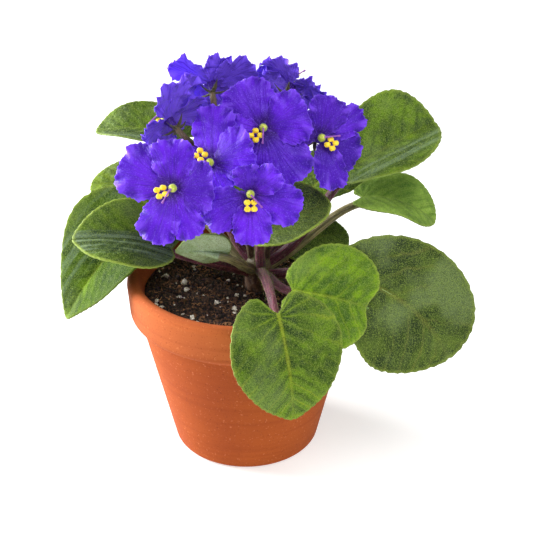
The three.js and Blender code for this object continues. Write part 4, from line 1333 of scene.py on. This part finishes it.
# %% Pistils and pollen sacs
SEAT_GAP = 0.3
OVARY_RADIUS = 1.7
OVARY_HEIGHT = 4
OVARY_PROFILE = (0.5, 0.78, 0.95, 1.0, 0.97, 0.86, 0.62, 0.3)
OVARY_HAIRS = 120
OVARY_HAIR = 0.45
OVARY_HAIR_ROOT = 0.05
STYLE_RADIUS = 0.35
STYLE_LENGTH = 7
STYLE_SWING = 40
STYLE_CURVE = ((0, 3.4), (1.2, 5.2), (STYLE_LENGTH * 0.6, 5.3), (STYLE_LENGTH, 5))
POLLEN_RADIUS = 1.3
POLLEN_OUT = 3.2
SAC_SPACING = 1.05
SAC_STRETCH = (1.08, 0.98, 0.95)
FURROW_DEPTH, FURROW_WIDTH = 0.16, 0.22
THREAD_RADIUS = 0.45


def on_face(bloom, distance, swing, out):
    """A place on the bloom's face, towards its pollen sacs and swung round from there."""
    return *swung(distance, 0, math.radians(bloom["pollen"] + swing)), out


def make_pistil(bloom, random):
    """The ovary, its hairs, and the style that thins out and ends in a small knob."""
    foot = TUBE_LIP + SEAT_GAP
    heights = np.linspace(foot, foot + OVARY_HEIGHT, len(OVARY_PROFILE))
    axis = bloom_points(bloom, [(0, 0, h) for h in heights])
    ovary = tube(axis, OVARY_RADIUS * np.array(OVARY_PROFILE), 20, ovary_skin)
    hairs = hairs_on(ovary, OVARY_HAIRS, OVARY_HAIR, hair, random, root=OVARY_HAIR_ROOT)
    guides = [on_face(bloom, distance, STYLE_SWING, foot + out) for distance, out in STYLE_CURVE]
    path = curve_points(*bloom_points(bloom, guides), 12)
    radii = STYLE_RADIUS * np.concatenate([np.linspace(1.2, 0.8, 11), [1.1, 1.4]])
    return [ovary, hairs, tube(path, radii, 10, style_skin)]


def make_pollen(bloom):
    """Two plump pairs of pollen sacs, each sac a furrowed ball, with the thread that holds them."""
    near = OVARY_RADIUS + SEAT_GAP + POLLEN_RADIUS
    far = near + 2 * SAC_SPACING * POLLEN_RADIUS
    apart = SAC_SPACING * POLLEN_RADIUS
    turn = math.radians(bloom["pollen"])
    sac = ball(10, 16)
    furrow = 1 - FURROW_DEPTH * np.exp(-((sac.points[:, 0] / FURROW_WIDTH) ** 2))
    shapes = []
    middles = []
    for along, across in ((near, apart), (far, apart), (far, -apart), (near, -apart)):
        middle = np.array([*swung(along, across, turn), TUBE_LIP + SEAT_GAP + POLLEN_OUT])
        middles.append(middle)
        local = sac.points * furrow[:, None] * POLLEN_RADIUS * np.array(SAC_STRETCH) + middle
        shapes.append(Shape(bloom_points(bloom, local), sac.triangles, pollen_skin))
    shapes.append(tube(bloom_points(bloom, middles), THREAD_RADIUS, 8, pollen_skin))
    return shapes


for bloom in BLOOMS:
    pistil = make_pistil(bloom, bloom_random)
    add_piece(bloom["name"] + "_ovary_and_style", pistil, [bloom["name"] + "_pistil"])
    add_piece(bloom["name"] + "_pollen_sacs", make_pollen(bloom), [bloom["name"] + "_pollen"])

# %% [markdown]
# ## Flower stalks
# Three upright stalks rise from the crown and fork near the top. A thinner stalk goes from the fork to the
# back of each bloom and ends in five narrow pointed sepals. All are brown-green with short whitish hairs.

# %% Flower stalks
SPRAYS = [
    dict(name="flower_stalk_left", foot=(2.4, 0), fork=(-6, -10, 126)),
    dict(name="flower_stalk_middle", foot=(6, 3.4), fork=(3, -3, 127)),
    dict(name="flower_stalk_right", foot=(9.6, 0), fork=(15, 2, 130)),
]
MAIN_STALK_RADIUS = 1.6
MAIN_STALK_HAIRS = 280
THIN_STALK_RADII = (1.1, 1.375)
THIN_STALK_HAIRS = 160
TURNS_BEHIND_BLOOM = 10
FLOWER_STALK_HAIR = 0.7
RISE = np.array([0, 0, 14.0])
SEPALS = 5
SEPAL_LENGTH = 7
SEPAL_RADIUS = 1.0
SEPAL_PROFILE = (0.8, 0.95, 1, 0.95, 0.85, 0.7, 0.5, 0.32, 0.15)
SEPAL_HAIRS = 26
SEPAL_FOOT_BEHIND = 1.2
SEPAL_BOW_OUT, SEPAL_BOW_BEHIND = 0.55, 0.9
SEPAL_TIP_AHEAD = 0.8

flower_stalk_skin = stalk_finish("flower_stalk", colour(74, 50, 44), colour(118, 96, 74), colour(92, 84, 50))
sepal_skin = stalk_finish("sepal", colour(62, 54, 34), colour(100, 92, 58), colour(84, 60, 46))


def behind(bloom, distance):
    """A point straight behind the bloom's tube."""
    return bloom_points(bloom, (0, 0, -TUBE_DEPTH - distance))


def make_sepal(bloom, turn):
    """One narrow pointed sepal. It bows back from its foot, and its tip comes forward beside the tube."""
    tip = [SEPAL_LENGTH * math.cos(turn), SEPAL_LENGTH * math.sin(turn), -TUBE_DEPTH + SEPAL_TIP_AHEAD]
    bow = [SEPAL_BOW_OUT * tip[0], SEPAL_BOW_OUT * tip[1], -TUBE_DEPTH - SEPAL_BOW_BEHIND]
    guide = bloom_points(bloom, bow)
    path = curve_points(behind(bloom, SEPAL_FOOT_BEHIND), guide, guide, bloom_points(bloom, tip), 8)
    return tube(path, SEPAL_RADIUS * np.array(SEPAL_PROFILE), 8, sepal_skin, flat=0.5)


def make_spray(spray, blooms, random):
    """One flower stalk with the thin stalks and the sepals of its blooms."""
    foot = np.array([*spray["foot"], CROWN_TOP + SEAT_GAP], float)
    fork = np.array(spray["fork"], float)
    path = curve_points(foot, foot + RISE, fork - RISE, fork, 20)
    stalk = tube(path, MAIN_STALK_RADIUS, 14, flower_stalk_skin)
    shapes = [stalk, hairs_on(stalk, MAIN_STALK_HAIRS, FLOWER_STALK_HAIR, hair, random)]
    start = fork - 0.05 * RISE
    for bloom in blooms:
        path = curve_points(start, start + 0.6 * RISE, behind(bloom, TURNS_BEHIND_BLOOM),
                            behind(bloom, SEAT_GAP), 20)
        thin_stalk = tube(path, np.linspace(*THIN_STALK_RADII, len(path)), 12, flower_stalk_skin)
        shapes += [thin_stalk, hairs_on(thin_stalk, THIN_STALK_HAIRS, FLOWER_STALK_HAIR, hair, random)]
        for k in range(SEPALS):
            sepal = make_sepal(bloom, math.radians(360 / SEPALS * (k + 0.5)))
            shapes += [sepal, hairs_on(sepal, SEPAL_HAIRS, FLOWER_STALK_HAIR, hair, random)]
    return shapes


for number, spray in enumerate(SPRAYS):
    shapes = make_spray(spray, [bloom for bloom in BLOOMS if bloom["spray"] == number], bloom_random)
    add_piece(spray["name"] + "_and_sepals", shapes, [spray["name"]])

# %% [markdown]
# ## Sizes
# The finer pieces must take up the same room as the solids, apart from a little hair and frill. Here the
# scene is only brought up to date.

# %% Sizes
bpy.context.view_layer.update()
